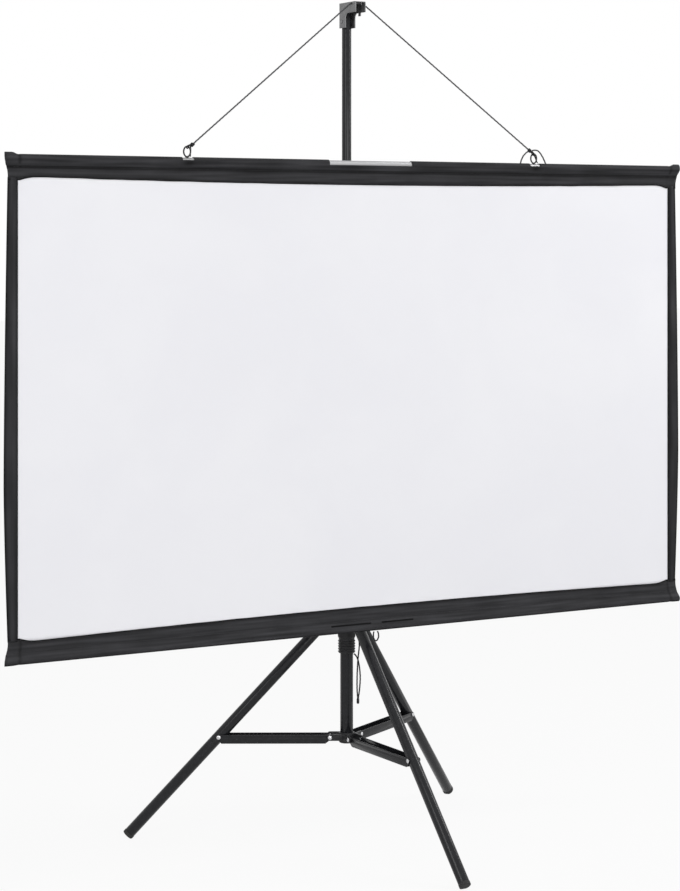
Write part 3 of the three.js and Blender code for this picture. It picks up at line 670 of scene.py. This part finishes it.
def end_tree(group, given, spots):
    """Last steps of a tree: its copies become one mesh with the finish that is given."""
    group.interface.new_socket("Geometry", in_out="OUTPUT", socket_type="NodeSocketGeometry")
    whole = group.nodes.new("GeometryNodeRealizeInstances")
    finish = group.nodes.new("GeometryNodeSetMaterial")
    result = group.nodes.new("NodeGroupOutput")
    group.links.new(spots.outputs["Instances"], whole.inputs["Geometry"])
    group.links.new(whole.outputs["Geometry"], finish.inputs["Geometry"])
    group.links.new(given.outputs["Finish"], finish.inputs["Material"])
    group.links.new(finish.outputs["Geometry"], result.inputs["Geometry"])


def ring_of_ribs():
    """Tree: upright blocks at even steps round a ring."""
    group = bpy.data.node_groups.new("ring_of_ribs", "GeometryNodeTree")
    group_input(group, "Count", "NodeSocketInt", 12)
    group_input(group, "Radius", "NodeSocketFloat", 0.018)
    group_input(group, "Level", "NodeSocketFloat", 0.0)
    group_input(group, "Rib", "NodeSocketVector", (0.002, 0.002, 0.01))
    group_input(group, "Finish", "NodeSocketMaterial")
    new, link = group.nodes.new, group.links.new
    given = new("NodeGroupInput")
    ring = new("GeometryNodeMeshCircle")
    lift = new("ShaderNodeCombineXYZ")
    raised = new("GeometryNodeTransform")
    block = new("GeometryNodeMeshCube")
    spots = new("GeometryNodeInstanceOnPoints")
    spot = new("GeometryNodeInputPosition")
    flat = new("ShaderNodeVectorMath")
    flat.operation = "MULTIPLY"
    flat.inputs[1].default_value = (1.0, 1.0, 0.0)
    facing = new("FunctionNodeAlignRotationToVector")
    facing.axis = "X"
    facing.pivot_axis = "Z"
    link(given.outputs["Count"], ring.inputs["Vertices"])
    link(given.outputs["Radius"], ring.inputs["Radius"])
    link(given.outputs["Level"], lift.inputs["Z"])
    link(ring.outputs["Mesh"], raised.inputs["Geometry"])
    link(lift.outputs["Vector"], raised.inputs["Translation"])
    link(given.outputs["Rib"], block.inputs["Size"])
    link(raised.outputs["Geometry"], spots.inputs["Points"])
    link(block.outputs["Mesh"], spots.inputs["Instance"])
    link(spot.outputs["Position"], flat.inputs[0])
    link(flat.outputs["Vector"], facing.inputs["Vector"])
    link(facing.outputs["Rotation"], spots.inputs["Rotation"])
    end_tree(group, given, spots)
    return group


def grown(name, group, values, centre=Vector((0.0, 0.0, 0.0)), start=None):
    """Piece made by a tree with the given inputs, as plain mesh moved to its centre."""
    piece = bpy.data.objects.new(name, start or bpy.data.meshes.new(name))
    scene.collection.objects.link(piece)
    tree_step = piece.modifiers.new("tree", "NODES")
    tree_step.node_group = group
    for item in group.interface.items_tree:
        if item.item_type == "SOCKET" and item.in_out == "INPUT" and item.name in values:
            tree_step[item.identifier] = values[item.name]
    graph = bpy.context.evaluated_depsgraph_get()
    made = bpy.data.meshes.new_from_object(piece.evaluated_get(graph))
    bpy.data.objects.remove(piece)
    made.transform(Matrix.Translation(centre))
    result = bpy.data.objects.new(name, made)
    scene.collection.objects.link(result)
    return result


rib_tree = ring_of_ribs()
COLUMN_AXIS = Vector((0.0, COLUMN_Y, 0.0))
HUB_RIB_HEIGHT = 39.5
hub_ribs = grown("hub_upright_ribs", rib_tree, {
    "Count": 18, "Radius": 18.4 * MM, "Level": (hub_foot + HUB_RIB_HEIGHT) * MM,
    "Rib": (1.6 * MM, 1.8 * MM, 8.0 * MM), "Finish": moulded}, COLUMN_AXIS)
dress(hub_ribs, moulded, "column", "black_plastic")

# Strut collar and struts: a plastic collar that slides on the column carries three pressed steel channels.
# Each channel is riveted between the collar's fork plates at one end and over a leg at the other.
LEGS = ("front", "right", "left")
softened("strut_collar", moulded, 0.4)
for side in LEGS:
    softened(f"strut_{side}", powder_coat, 0.3)
    softened(f"strut_{side}_rivet", bright_steel, 0.25)
    for end in "ab":
        softened(f"collar_rivet_{side}_{end}", bright_steel, 0.25)

# Legs: straight steel tubes, each with a moulded top that turns in the hub.
# The feet are rubber plugs, cut level with the floor.
foot_rubber = grained("foot_rubber", ((0.014, 0.014, 0.014), (0.026, 0.026, 0.026)), (0.75, 0.9),
                      scale=900.0, bump=0.4)
for side in LEGS:
    softened(f"leg_{side}_tube", powder_coat, 0.4)
    softened(f"leg_{side}_top", moulded, 0.5)
    softened(f"leg_{side}_foot", foot_rubber, 0.4)

# Clamps and knobs: a moulded collar caps each tube and grips the next one when its thumb knob is tightened.
# The collars have upright grip ribs, and each knob has a pressed steel cap in its middle.
CLAMP_RIB_HEIGHT = 10.0
CAP_PROFILE = [(0, -0.6), (5.6, -0.6), (6, 0.1), (5.2, 0.7), (3.6, 0.9), (3.0, 0.5), (0, 0.5)]
for node in ("column_clamp", "mast_clamp", "column_knob", "mast_knob"):
    softened(node, moulded, 0.7)
for node in ("mid_bush", "mast_bush"):
    dress(frame["nodes"][node], moulded)
for node, radius, body in (("column_clamp", 18.9, "column"), ("mast_clamp", 17.0, "mid_tube")):
    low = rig.box(node)[0][2]
    ribs = grown(f"{node}_ribs", rib_tree, {
        "Count": 20, "Radius": radius * MM, "Level": low + CLAMP_RIB_HEIGHT * MM,
        "Rib": (1.4 * MM, 1.6 * MM, 14.0 * MM), "Finish": moulded}, COLUMN_AXIS)
    dress(ribs, moulded, body, "black_plastic")
for node in ("column_knob", "mast_knob"):
    low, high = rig.box(node)
    outer_face = Matrix.Translation(Vector((0.0, high[1], (low[2] + high[2]) / 2)))
    cap = turned(f"{node}_cap", CAP_PROFILE, 40, outer_face @ Matrix.Rotation(-math.pi / 2, 4, "X"))
    dress(cap, bright_steel, node, "steel")

# Middle tube and mast: the two inner tubes of the telescope, each sliding in the one below.
# They have the same satin black coat as the column.
softened("mid_tube", powder_coat)
softened("mast_tube", powder_coat)

# Bracket: a grey painted sheet folded over the mast's top and bolted through it.
# Its arm reaches out over the screen, with a seat across it for the cord, and its inside has a darker finish: painted
# shade.
grey_paint = grained("grey_paint", ((0.19, 0.19, 0.195), (0.24, 0.24, 0.245)), (0.42, 0.55),
                     scale=1100.0, bump=0.15)
inside_painted_shade = grained("bracket_inside_painted_shade", ((0.05, 0.05, 0.052), (0.085, 0.085, 0.088)), (0.5, 0.65),
                       scale=1100.0, bump=0.15, specular=0.3)
SIDE_WALL = 2.0
TOP_WALL = 1.9
bracket = softened("hook_bracket", grey_paint, 0.6)
bracket_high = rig.box("hook_bracket")[1]
bracket.data.materials.append(inside_painted_shade)
# Faces between the side walls and below the top take the painted shade.
for face in bracket.data.polygons:
    between_sides = abs(face.center.x) < bracket_high[0] - SIDE_WALL * MM
    below_top = face.center.z < bracket_high[2] - TOP_WALL * MM
    face.material_index = 1 if between_sides and below_top else 0
softened("bracket_bolt", grey_paint, 0.3)

# Bars: drawn aluminium tubes in the two hems, with plastic plugs in their ends.
# The upper one carries two black screw eyes, which the cord is tied to.
drawn_tube = grained("drawn_aluminium", ((0.33, 0.33, 0.336), (0.41, 0.41, 0.415)), (0.5, 0.62),
                     scale=900.0, bump=0.15, metallic=1.0, stretch=(0.04, 1.0, 1.0))
for bar in ("top", "bottom"):
    softened(f"{bar}_bar", drawn_tube, 0.3)
    for side, _ in SIDES:
        softened(f"{bar}_bar_plug_{side}", moulded, 0.4)
for side, _ in SIDES:
    softened(f"screw_eye_{side}", powder_coat, 0.25)

# Sheet: matt white coated cloth, held flat by its border, with a fine grain and a faintly uneven white.
# It hangs free between the bars, so its middle has a shallow ripple.
sheet_low, sheet_high = (Vector(corner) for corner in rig.box("white_sheet"))
SHEET_STEPS = (120, 68)
LAP = 0.008
RIPPLE = 0.0011
FLAT_EDGE = 0.02
EASED_EDGE = 0.05


def screen_white():
    """Matt white with faint clouds and a fine grain."""
    material = bpy.data.materials.new("screen_white")
    material.use_nodes = True
    nodes, links = material.node_tree.nodes, material.node_tree.links
    shader = nodes["Principled BSDF"]
    shader.inputs["Roughness"].default_value = 0.85
    shader.inputs["Specular IOR Level"].default_value = 0.25
    where = nodes.new("ShaderNodeTexCoord")
    cloud = nodes.new("ShaderNodeTexNoise")
    cloud.inputs["Scale"].default_value = 2.6
    cloud.inputs["Detail"].default_value = 3.0
    cloud.inputs["Distortion"].default_value = 0.6
    tone = two_tones(nodes, (0.42, 0.66), ((0.82, 0.82, 0.855), (0.84, 0.84, 0.87)))
    grain = nodes.new("ShaderNodeTexNoise")
    grain.inputs["Scale"].default_value = 1800.0
    grain.inputs["Detail"].default_value = 2.0
    relief = nodes.new("ShaderNodeBump")
    relief.inputs["Strength"].default_value = 0.12
    relief.inputs["Distance"].default_value = 0.0002
    links.new(where.outputs["Object"], cloud.inputs["Vector"])
    links.new(where.outputs["Object"], grain.inputs["Vector"])
    links.new(cloud.outputs["Fac"], tone.inputs["Fac"])
    links.new(tone.outputs["Color"], shader.inputs["Base Color"])
    links.new(grain.outputs["Fac"], relief.inputs["Height"])
    links.new(relief.outputs["Normal"], shader.inputs["Normal"])
    return material


def grid_faces(columns, rows, keep=None):
    """Faces of a grid of points written column by column, without those that keep turns down."""
    faces = []
    for i in range(columns):
        for j in range(rows):
            if keep is None or keep(i, j):
                a = i * (rows + 1) + j
                faces.append((a, a + rows + 1, a + rows + 2, a + 1))
    return faces


def thicken(piece, thickness):
    """Gives a sheet its thickness, half on each side."""
    wall = piece.modifiers.new("wall", "SOLIDIFY")
    wall.thickness = thickness
    wall.offset = 0.0
    settle(piece)


def ease(value):
    """Smooth step from 0 to 1."""
    value = min(max(value, 0.0), 1.0)
    return value * value * (3 - 2 * value)


columns, rows = SHEET_STEPS
cloth_low = sheet_low - Vector((LAP, 0.0, LAP))
cloth_high = sheet_high + Vector((LAP, 0.0, LAP))
sheet_verts = []
for i in range(columns + 1):
    for j in range(rows + 1):
        x = cloth_low.x + (cloth_high.x - cloth_low.x) * i / columns
        z = cloth_low.z + (cloth_high.z - cloth_low.z) * j / rows
        inside = min(x - cloth_low.x, cloth_high.x - x, z - cloth_low.z, cloth_high.z - z)
        wave = noise.noise(Vector((x * 4.0, 0.0, z * 1.2))) * RIPPLE * ease((inside - FLAT_EDGE) / EASED_EDGE)
        sheet_verts.append((x, (sheet_low.y + sheet_high.y) / 2 + wave, z))
sheet = mesh_object("screen_sheet", sheet_verts, grid_faces(columns, rows))
thicken(sheet, sheet_high.y - sheet_low.y)
dress(sheet, screen_white(), "screen", "white_cloth", ["white_sheet"])

# Hems: black woven cloth sewn along the white's top and foot, closed into a sleeve over each bar.
# The upper sleeve is cut away for the eyes and in the middle, and the lower one has two slits there.
CLOTH = 0.8
BAND_ROWS = 15
ARC_STEPS = 36
SLANT_STEPS = 12
HEM_STEPS = 230
END_STEPS = 22
END_STEP = 3.0
PINCH_STEPS = 6
SLEEVE_MIDDLE = 7.9
SLEEVE_START = math.radians(205)
SLEEVE_TURN = math.radians(230)
FRONT_LAYER = -1.1
BACK_LAYER = -0.05
SEAM_DROP = 15.0
HEM_DROP = {"ends": 37.4, "middle": 45.0}
BOW_HALF = 740.0
CORNER_DIP = 6.4
CORNER_REACH = 36.0
PICTURE_HALF = sheet_high.x / MM - 6.0
INNER_EDGE = {-1: PICTURE_HALF + 5.5, 1: PICTURE_HALF - 1.7}
BORDER_WIDTH = {-1: (21.0, 8.2), 1: (22.4, 9.6)}
HEM_END = {-1: 829.8, 1: 827.6}
PINCH = {-1: 3.0, 1: 1.2}
END_ROUNDING = {-1: 0.0, 1: 0.85}
TUCK_AT = 801.0
TUCK_WIDTH = 3.8
TUCK_RIDGE = 0.7
GATHER_RISE = 0.48
TRIM_TOP = 8.0
TRIM_SIZE = (70.0, 44.0)
SAG_PLACE = (2.0, -4.0)
SAG_SIZE = (12.0, 4.5)
BAND_LIFT = 1.2
SEAM_PUCKER = 0.5
EDGE_WANDER = 0.5
# Width of the painted shade in each hem's seam groove.
SEAM_SHADOW_WIDTH = 3.6
# Painted shade along a hem band's lower edge: its width, then its depth, which also darkens a border's rolled outer
# edge.
EDGE_SHADOW_WIDTH = 4.0
EDGE_PAINTED_SHADE = 0.85
# Depth of the painted shade in the tuck near each hem's end.
TUCK_PAINTED_SHADE = 0.55
# Depth of the painted shade below each eye's cut-out, where the sleeve sags.
SAG_PAINTED_SHADE = 0.72
# Depth of the painted shade on the lower sleeve's underside.
UNDERSIDE_PAINTED_SHADE = 0.65
STREAK = 0.55
# The lower hem is painted lighter overall than the upper one: painted light.
LOWER_HEM_PAINTED_LIGHT = 1.07


def border_black():
    """Black plain weave, darker where the cloth's shade attribute is low: painted shade, with random streaks."""
    material = bpy.data.materials.new("border_black_weave")
    material.use_nodes = True
    nodes, links = material.node_tree.nodes, material.node_tree.links
    shader = nodes["Principled BSDF"]
    shader.inputs["Specular IOR Level"].default_value = 0.08
    where = nodes.new("ShaderNodeTexCoord")
    threads = []
    for direction in ("X", "Z"):
        wave = nodes.new("ShaderNodeTexWave")
        wave.bands_direction = direction
        wave.inputs["Scale"].default_value = 320.0
        wave.inputs["Distortion"].default_value = 0.4
        links.new(where.outputs["Object"], wave.inputs["Vector"])
        threads.append(wave)
    weave = nodes.new("ShaderNodeMath")
    weave.operation = "MULTIPLY"
    links.new(threads[0].outputs["Fac"], weave.inputs[0])
    links.new(threads[1].outputs["Fac"], weave.inputs[1])
    cloud = nodes.new("ShaderNodeTexNoise")
    cloud.inputs["Scale"].default_value = 14.0
    cloud.inputs["Detail"].default_value = 5.0
    links.new(where.outputs["Object"], cloud.inputs["Vector"])
    tone = two_tones(nodes, (0.3, 0.7), ((0.028, 0.028, 0.030), (0.037, 0.037, 0.040)))
    links.new(cloud.outputs["Fac"], tone.inputs["Fac"])
    # The shade attribute scales the base tone: painted shade at seams, edges, tucks and undersides, and random
    # streaks.
    painted_shade_and_streaks = nodes.new("ShaderNodeAttribute")
    painted_shade_and_streaks.attribute_name = "shade"
    darkened = nodes.new("ShaderNodeVectorMath")
    darkened.operation = "SCALE"
    links.new(tone.outputs["Color"], darkened.inputs[0])
    links.new(painted_shade_and_streaks.outputs["Fac"], darkened.inputs["Scale"])
    links.new(darkened.outputs["Vector"], shader.inputs["Base Color"])
    gloss = nodes.new("ShaderNodeMapRange")
    gloss.inputs["To Min"].default_value = 0.62
    gloss.inputs["To Max"].default_value = 0.8
    links.new(cloud.outputs["Fac"], gloss.inputs["Value"])
    links.new(gloss.outputs["Result"], shader.inputs["Roughness"])
    relief = nodes.new("ShaderNodeBump")
    relief.inputs["Strength"].default_value = 0.35
    relief.inputs["Distance"].default_value = 0.0002
    links.new(weave.outputs["Value"], relief.inputs["Height"])
    links.new(relief.outputs["Normal"], shader.inputs["Normal"])
    return material


black_weave = border_black()


def hem_line():
    """Points (back, up) of the cloth's middle, from the white up, round the bar and down behind the seam.

    The band below the seam is written as if it were one deep: its real depth varies along the hem.
    """
    rise = [(FRONT_LAYER, -SEAM_DROP - 1 + k / (BAND_ROWS - 1)) for k in range(BAND_ROWS)]
    angles = [SLEEVE_START - SLEEVE_TURN * k / ARC_STEPS for k in range(ARC_STEPS + 1)]
    arc = [(SLEEVE_MIDDLE * math.cos(angle), SLEEVE_MIDDLE * math.sin(angle)) for angle in angles]
    spread = [along(rise[-1], arc[0], k / SLANT_STEPS) for k in range(1, SLANT_STEPS)]
    close = [along(arc[-1], (BACK_LAYER, -SEAM_DROP), k / SLANT_STEPS) for k in range(1, SLANT_STEPS + 1)]
    return rise + spread + arc + close + [(BACK_LAYER, -SEAM_DROP - 3), (BACK_LAYER, -SEAM_DROP - 6)]


def band_drop(x):
    """Depth of the black below the bar: most in the middle, least near the ends, dipping at each corner."""
    reach = min(abs(x) / BOW_HALF, 1.0)
    corner = INNER_EDGE[-1 if x < 0 else 1] - abs(x)
    bow = HEM_DROP["ends"] + (HEM_DROP["middle"] - HEM_DROP["ends"]) * (1 - reach ** 2)
    return bow + CORNER_DIP * max(0.0, 1 - max(corner, 0.0) / CORNER_REACH) ** 1.7


def tuck_at(x, gathered):
    """Depth of the tuck across each end of a hem, from 0 to 1."""
    return min(gathered + 0.6, 1.0) * math.exp(-((abs(x) - TUCK_AT) / TUCK_WIDTH) ** 2)


def end_form(x, y, z, gathered):
    """Closes a hem's end over the bar's plug and cuts it back below the sleeve.

    A gathered end stands up, past a tuck.
    """
    side = -1 if x < 0 else 1
    left_over = HEM_END[side] - abs(x)
    sleeve = ease((z + SEAM_DROP + 1.0) / 9.0)
    full = gathered * ease(z / 8.0) * ease((abs(x) - TUCK_AT - 1.4) / 12.0)
    tuck = tuck_at(x, gathered)
    closing = sleeve * (1 - min(left_over / PINCH[side], 1.0))
    spare = HEM_END[side] - INNER_EDGE[side] - BORDER_WIDTH[side][0]
    trim = spare * ease((TRIM_TOP - z) / TRIM_SIZE[1]) * ease(1 - left_over / TRIM_SIZE[0])
    y_scale = (1 - 0.95 * closing) * (1 - 0.07 * sleeve * tuck)
    z_scale = (1 - END_ROUNDING[side] * closing) * (1 + sleeve * (GATHER_RISE * full - 0.05 * tuck))
    return x - side * trim, y * y_scale - TUCK_RIDGE * tuck * (1 - sleeve) * (y < 0), z * z_scale


def eye_sag(x, level):
    """How far the upper sleeve sinks below the cut-out at each eye, from 0 to 1."""
    across = max(math.exp(-((x - eye_x - SAG_PLACE[0]) / SAG_SIZE[0]) ** 2) for eye_x in EYE_X.values())
    return across * math.exp(-((level - SAG_PLACE[1]) / SAG_SIZE[1]) ** 2)


def shaded(piece, shades):
    """Keeps how dark each point of the cloth is painted: painted shade at seams, edges, tucks and undersides, with
    random streaks.
    """
    piece.data.attributes.new("shade", "FLOAT", "POINT").data.foreach_set("value", shades)


def hem_stops(gaps):
    """Places along a hem that have points: even steps, finer ones at its ends, and the gaps' sides."""
    stops = {along((-HEM_END[-1],), (HEM_END[1],), k / HEM_STEPS)[0] for k in range(HEM_STEPS + 1)}
    for side, end in HEM_END.items():
        stops.update(side * (end - END_STEP * k) for k in range(END_STEPS))
        stops.update(side * (end - PINCH[side] * k / PINCH_STEPS) for k in range(1, PINCH_STEPS + 1))
    for low, high, *_ in gaps:
        stops.update((low, high))
    return sorted(stops)


def hem_cloth(name, bar_level, up, gaps, seed, seam_painted_shade):
    """Hem along X: up is 1 for the upper one. A gap is (low x, high x, low z, high z, front only)."""
    gathered = 1.0 if up > 0 else 0.15
    xs = hem_stops(gaps)
    line = hem_line()
    verts, shades = [], []
    for x in xs:
        drop = band_drop(x)
        for k, (y, z) in enumerate(line):
            in_band = k < BAND_ROWS
            band = -SEAM_DROP - z if in_band else 0.0
            level = -SEAM_DROP - band * (drop - SEAM_DROP) if in_band else z
            lift = noise.noise(Vector((x * 0.012, seed, level * 0.05)))
            pucker = noise.noise(Vector((x * 0.09, seed + 5.0, level * 0.03)))
            pucker *= math.exp(-((level + SEAM_DROP) / 5.0) ** 2)
            outwards = 1.0 if y < 0 else -1.0
            y_place = y - band * BAND_LIFT * max(lift, 0.0) - SEAM_PUCKER * abs(pucker) * outwards
            level += band * EDGE_WANDER * noise.noise(Vector((x * 0.02, seed + 9.0, 0.0)))
            sag = eye_sag(x, level) if up > 0 and y < 0 else 0.0
            x_place, y_place, level = end_form(x, y_place * (1.0 - 0.05 * sag), level, gathered)
            verts.append(place(x_place, SCREEN_Y + y_place, bar_level + up * level))
            # Painted shade: in the seam's groove, along the band's lower edge, in the tuck, below each eye's cut-out
            # and under the lower sleeve; the streaks are random tone.
            groove = math.exp(-((level + SEAM_DROP + 2.0) / SEAM_SHADOW_WIDTH) ** 2)
            edge = math.exp(-((level + drop - 1.0) / EDGE_SHADOW_WIDTH) ** 2) if in_band else 0.0
            tuck = tuck_at(x, gathered) * (ease((level + 14.0) / 6.0) if up > 0 else 1.0)
            streak = 1.0 + STREAK * noise.noise(Vector((x * 0.009, seed + 20.0, level * 0.2)))
            under = 0.0 if up > 0 else UNDERSIDE_PAINTED_SHADE * ease((level - 3.0) / 3.5)
            painted_seam_shade = (1.0 - seam_painted_shade * groove) * (1.0 - EDGE_PAINTED_SHADE * edge)
            shade = painted_seam_shade * (1.0 - TUCK_PAINTED_SHADE * tuck) * (1.0 - under)
            shades.append(shade * streak * (1.0 - SAG_PAINTED_SHADE * sag) * (1.0 if up > 0 else LOWER_HEM_PAINTED_LIGHT))

    def keep(i, j):
        """Whether a face is cloth, and not in a gap."""
        x = (xs[i] + xs[i + 1]) / 2
        y = (line[j][0] + line[j + 1][0]) / 2
        z = (line[j][1] + line[j + 1][1]) / 2
        for low, high, floor_z, top_z, front_only in gaps:
            if low < x < high and floor_z < z < top_z and (y < 0 or not front_only):
                return False
        return True

    piece = mesh_object(name, verts, grid_faces(len(xs) - 1, len(line) - 1, keep))
    shaded(piece, shades)
    form = bmesh.new()
    form.from_mesh(piece.data)
    loose = [v for v in form.verts if not v.link_faces]
    bmesh.ops.delete(form, geom=loose, context="VERTS")
    form.to_mesh(piece.data)
    form.free()
    thicken(piece, CLOTH * MM)
    return piece


top_bar_low, top_bar_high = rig.box("top_bar")
bottom_bar_low, bottom_bar_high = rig.box("bottom_bar")
top_level = (top_bar_low[2] + top_bar_high[2]) / 2 / MM
bottom_level = (bottom_bar_low[2] + bottom_bar_high[2]) / 2 / MM
MIDDLE_GAP = (-102.0, 102.0, -3.4, 20.0, False)
EYE_GAP_HALF = 13.0
SLITS = ((-97.0, 0.0), (27.0, 106.0))
SLIT_LEVELS = (-10.0, -7.0)
eye_gaps = [(x - EYE_GAP_HALF, x + EYE_GAP_HALF, 2.0, 20.0, False) for x in EYE_X.values()]
slit_gaps = [(*slit, *SLIT_LEVELS, True) for slit in SLITS]
top_hem = hem_cloth("top_hem_cloth", top_level, 1, [MIDDLE_GAP, *eye_gaps], seed=1.0, seam_painted_shade=0.84)
bottom_hem = hem_cloth("bottom_hem_cloth", bottom_level, -1, slit_gaps, seed=3.0, seam_painted_shade=0.2)
dress(top_hem, black_weave, "screen", "black_cloth", ["top_hem"])
dress(bottom_hem, black_weave, "screen", "black_cloth", ["bottom_hem"])

# Tape behind the two slits in the lower hem: strips of the same cloth inside the sleeve.
# They keep the bar out of sight, and carry painted shade, dark as the inside of each slit.
TAPE_LAP = 3.0
TAPE_EDGES = ((-2.5, -11.0), (-4.65, -6.5))
TAPE_PAINTED_SHADE = 0.25
TAPE_THICKNESS = 0.2
tape_spots = [place(x, SCREEN_Y + y, bottom_level - level) for low, high in SLITS
              for x in (low - TAPE_LAP, high + TAPE_LAP) for y, level in TAPE_EDGES]
slit_tape = mesh_object("slit_tape", tape_spots, [(0, 2, 3, 1), (4, 6, 7, 5)])
shaded(slit_tape, [TAPE_PAINTED_SHADE] * len(tape_spots))
thicken(slit_tape, TAPE_THICKNESS * MM)
dress(slit_tape, black_weave, "screen", "black_cloth")

# Side borders: narrow strips of the same cloth, folded over the white's edges and lapped by the hems.
# They are widest below the middle, where the pull of the bars is least.
BORDER_STEPS = (16, 150)
BORDER_LAP = 8.0
BELLY_LEVEL = -0.33
# Widths of the painted shade along each border's sewn inner edge and rolled outer edge, then the depth of the first.
SEWN_SHADE_WIDTH = {-1: 4.0, 1: 6.5}
FOLDED_SHADE_WIDTH = 4.2
BORDER_SEAM_PAINTED_SHADE = 0.88
# Painted shade over each whole border, the right one darker than the left.
BORDER_PAINTED_SHADE = {-1: 0.94, 1: 0.82}
RIDGE_HEIGHT = 1.0
RIDGE_UNEVENNESS = 0.6
ROLL_BACK = 1.6
border_low, border_high = (Vector(corner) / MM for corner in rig.box("border_right"))


def border_width(sign, t):
    """Width of a side border at a height from -1 to 1: least at its ends and most below its middle."""
    least, belly = BORDER_WIDTH[sign]
    share = (t - BELLY_LEVEL) / (1 - BELLY_LEVEL if t > BELLY_LEVEL else 1 + BELLY_LEVEL)
    return least + belly * (1 - abs(share) ** 1.4)


def border_cloth(name, sign):
    """Strip with a low ridge along it and its outer edge rolled back."""
    columns, rows = BORDER_STEPS
    half = (border_high.z - border_low.z) / 2 + BORDER_LAP
    verts, shades = [], []
    for i in range(columns + 1):
        u = i / columns
        for j in range(rows + 1):
            t = j / rows * 2 - 1
            width = border_width(sign, t)
            x = INNER_EDGE[sign] + width * u
            lift = max(noise.noise(Vector((sign * 3.0 + u, 2.0, t * 5.0))), 0.0)
            ridge = math.exp(-((u - 0.4) / 0.2) ** 2)
            roll = ease((u - 0.72) / 0.28)
            height = (RIDGE_UNEVENNESS * lift + RIDGE_HEIGHT) * ridge
            y = SCREEN_Y + FRONT_LAYER + 0.05 - height + ROLL_BACK * roll
            verts.append(place(sign * x, y, (border_low.z + border_high.z) / 2 + t * half))
            # Painted shade along the sewn inner edge and the rolled outer edge; the streaks are random tone.
            painted_seam_shade = math.exp(-(u * width / SEWN_SHADE_WIDTH[sign]) ** 2)
            folded = math.exp(-((1 - u) * width / FOLDED_SHADE_WIDTH) ** 2)
            streak = 1.0 + STREAK * noise.noise(Vector((sign * 7.0 + u * 2.2, 4.0, t * 4.0)))
            shades.append((1.0 - BORDER_SEAM_PAINTED_SHADE * painted_seam_shade) * (1.0 - EDGE_PAINTED_SHADE * folded) * streak * BORDER_PAINTED_SHADE[sign])
    piece = mesh_object(name, verts, grid_faces(columns, rows))
    shaded(piece, shades)
    thicken(piece, CLOTH * MM)
    return piece


borders = []
for side, sign in SIDES:
    border = border_cloth(f"border_{side}_cloth", sign)
    borders.append(dress(border, black_weave, "screen", "black_cloth", [f"border_{side}"]))

# Stitching: rows of black thread that close the sleeves and hold the black to the white.
# Each row is a line of short slim stitches.
thread = grained("black_thread", ((0.03, 0.03, 0.032), (0.05, 0.05, 0.054)), (0.55, 0.7),
                 scale=3000.0, bump=0.4)
STITCH_FRONT = SCREEN_Y - 1.6
STITCH_REACH = 810
STITCH_STEPS = 160


def stitch_rows():
    """Tree: short slim stitches at an even pitch along each line of a curve."""
    group = bpy.data.node_groups.new("stitch_rows", "GeometryNodeTree")
    group_input(group, "Lines", "NodeSocketGeometry")
    group_input(group, "Pitch", "NodeSocketFloat", 0.004)
    group_input(group, "Stitch", "NodeSocketVector", (0.00025, 0.00025, 0.0015))
    group_input(group, "Finish", "NodeSocketMaterial")
    new, link = group.nodes.new, group.links.new
    given = new("NodeGroupInput")
    steps = new("GeometryNodeResampleCurve")
    steps.mode = "LENGTH"
    grain = new("GeometryNodeMeshIcoSphere")
    grain.inputs["Radius"].default_value = 1.0
    grain.inputs["Subdivisions"].default_value = 1
    slim = new("GeometryNodeTransform")
    spots = new("GeometryNodeInstanceOnPoints")
    way = new("GeometryNodeInputTangent")
    facing = new("FunctionNodeAlignRotationToVector")
    facing.axis = "Z"
    link(given.outputs["Lines"], steps.inputs["Curve"])
    link(given.outputs["Pitch"], steps.inputs["Length"])
    link(grain.outputs["Mesh"], slim.inputs["Geometry"])
    link(given.outputs["Stitch"], slim.inputs["Scale"])
    link(steps.outputs["Curve"], spots.inputs["Points"])
    link(slim.outputs["Geometry"], spots.inputs["Instance"])
    link(way.outputs["Tangent"], facing.inputs["Vector"])
    link(facing.outputs["Rotation"], spots.inputs["Rotation"])
    end_tree(group, given, spots)
    return group


stitch_lines = bpy.data.curves.new("stitch_lines", "CURVE")
stitch_lines.dimensions = "3D"


def stitch_line(points):
    """Adds a row of stitches through some points."""
    spline = stitch_lines.splines.new("POLY")
    spline.points.add(len(points) - 1)
    for knot_point, spot in zip(spline.points, points):
        knot_point.co = (*spot, 1.0)


stitch_xs = [-STITCH_REACH + 2 * STITCH_REACH * k / STITCH_STEPS for k in range(STITCH_STEPS + 1)]
for level, up in ((top_level, 1), (bottom_level, -1)):
    stitch_line([place(x, STITCH_FRONT - 0.3, level - up * (SEAM_DROP + 2.0)) for x in stitch_xs])
    stitch_line([place(x, STITCH_FRONT - 0.3, level - up * (band_drop(x) - 2.5)) for x in stitch_xs])
for sign in (-1, 1):
    row_x = sign * (INNER_EDGE[sign] + 3.5)
    stitch_line([place(row_x, STITCH_FRONT, z) for z in (border_low.z + 3, border_high.z - 3)])
stitches = grown("hem_stitching", stitch_rows(), {
    "Pitch": 4.2 * MM, "Stitch": (0.28 * MM, 0.28 * MM, 1.6 * MM), "Finish": thread}, start=stitch_lines)
dress(stitches, thread, "screen", "black_cloth")

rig.sheet(sheet, flat=(cloth_high.x - cloth_low.x, cloth_high.z - cloth_low.z), held="stretched",
         rests_on=["top_bar", "bottom_bar"])
sleeve_line = hem_line()[BAND_ROWS - 1:]
sleeve_run = sum(math.dist(a, b) for a, b in zip(sleeve_line, sleeve_line[1:]))
hem_run = (sleeve_run + HEM_DROP["middle"] - SEAM_DROP) * MM
for hem, on_it in ((top_hem, stitches), (bottom_hem, slit_tape)):
    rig.sheet(hem, flat=(sum(HEM_END.values()) * MM, hem_run), held="folded", with_pieces=[on_it])
for border, sign in zip(borders, (-1, 1)):
    flat = (sum(BORDER_WIDTH[sign]) * MM, (border_high.z - border_low.z + 2 * BORDER_LAP) * MM)
    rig.sheet(border, flat=flat, held="stretched")

with open("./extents.json", "w") as sizes:
    json.dump({"cad": cad_box, "visual": [list(corner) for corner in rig.bounds()]}, sizes)
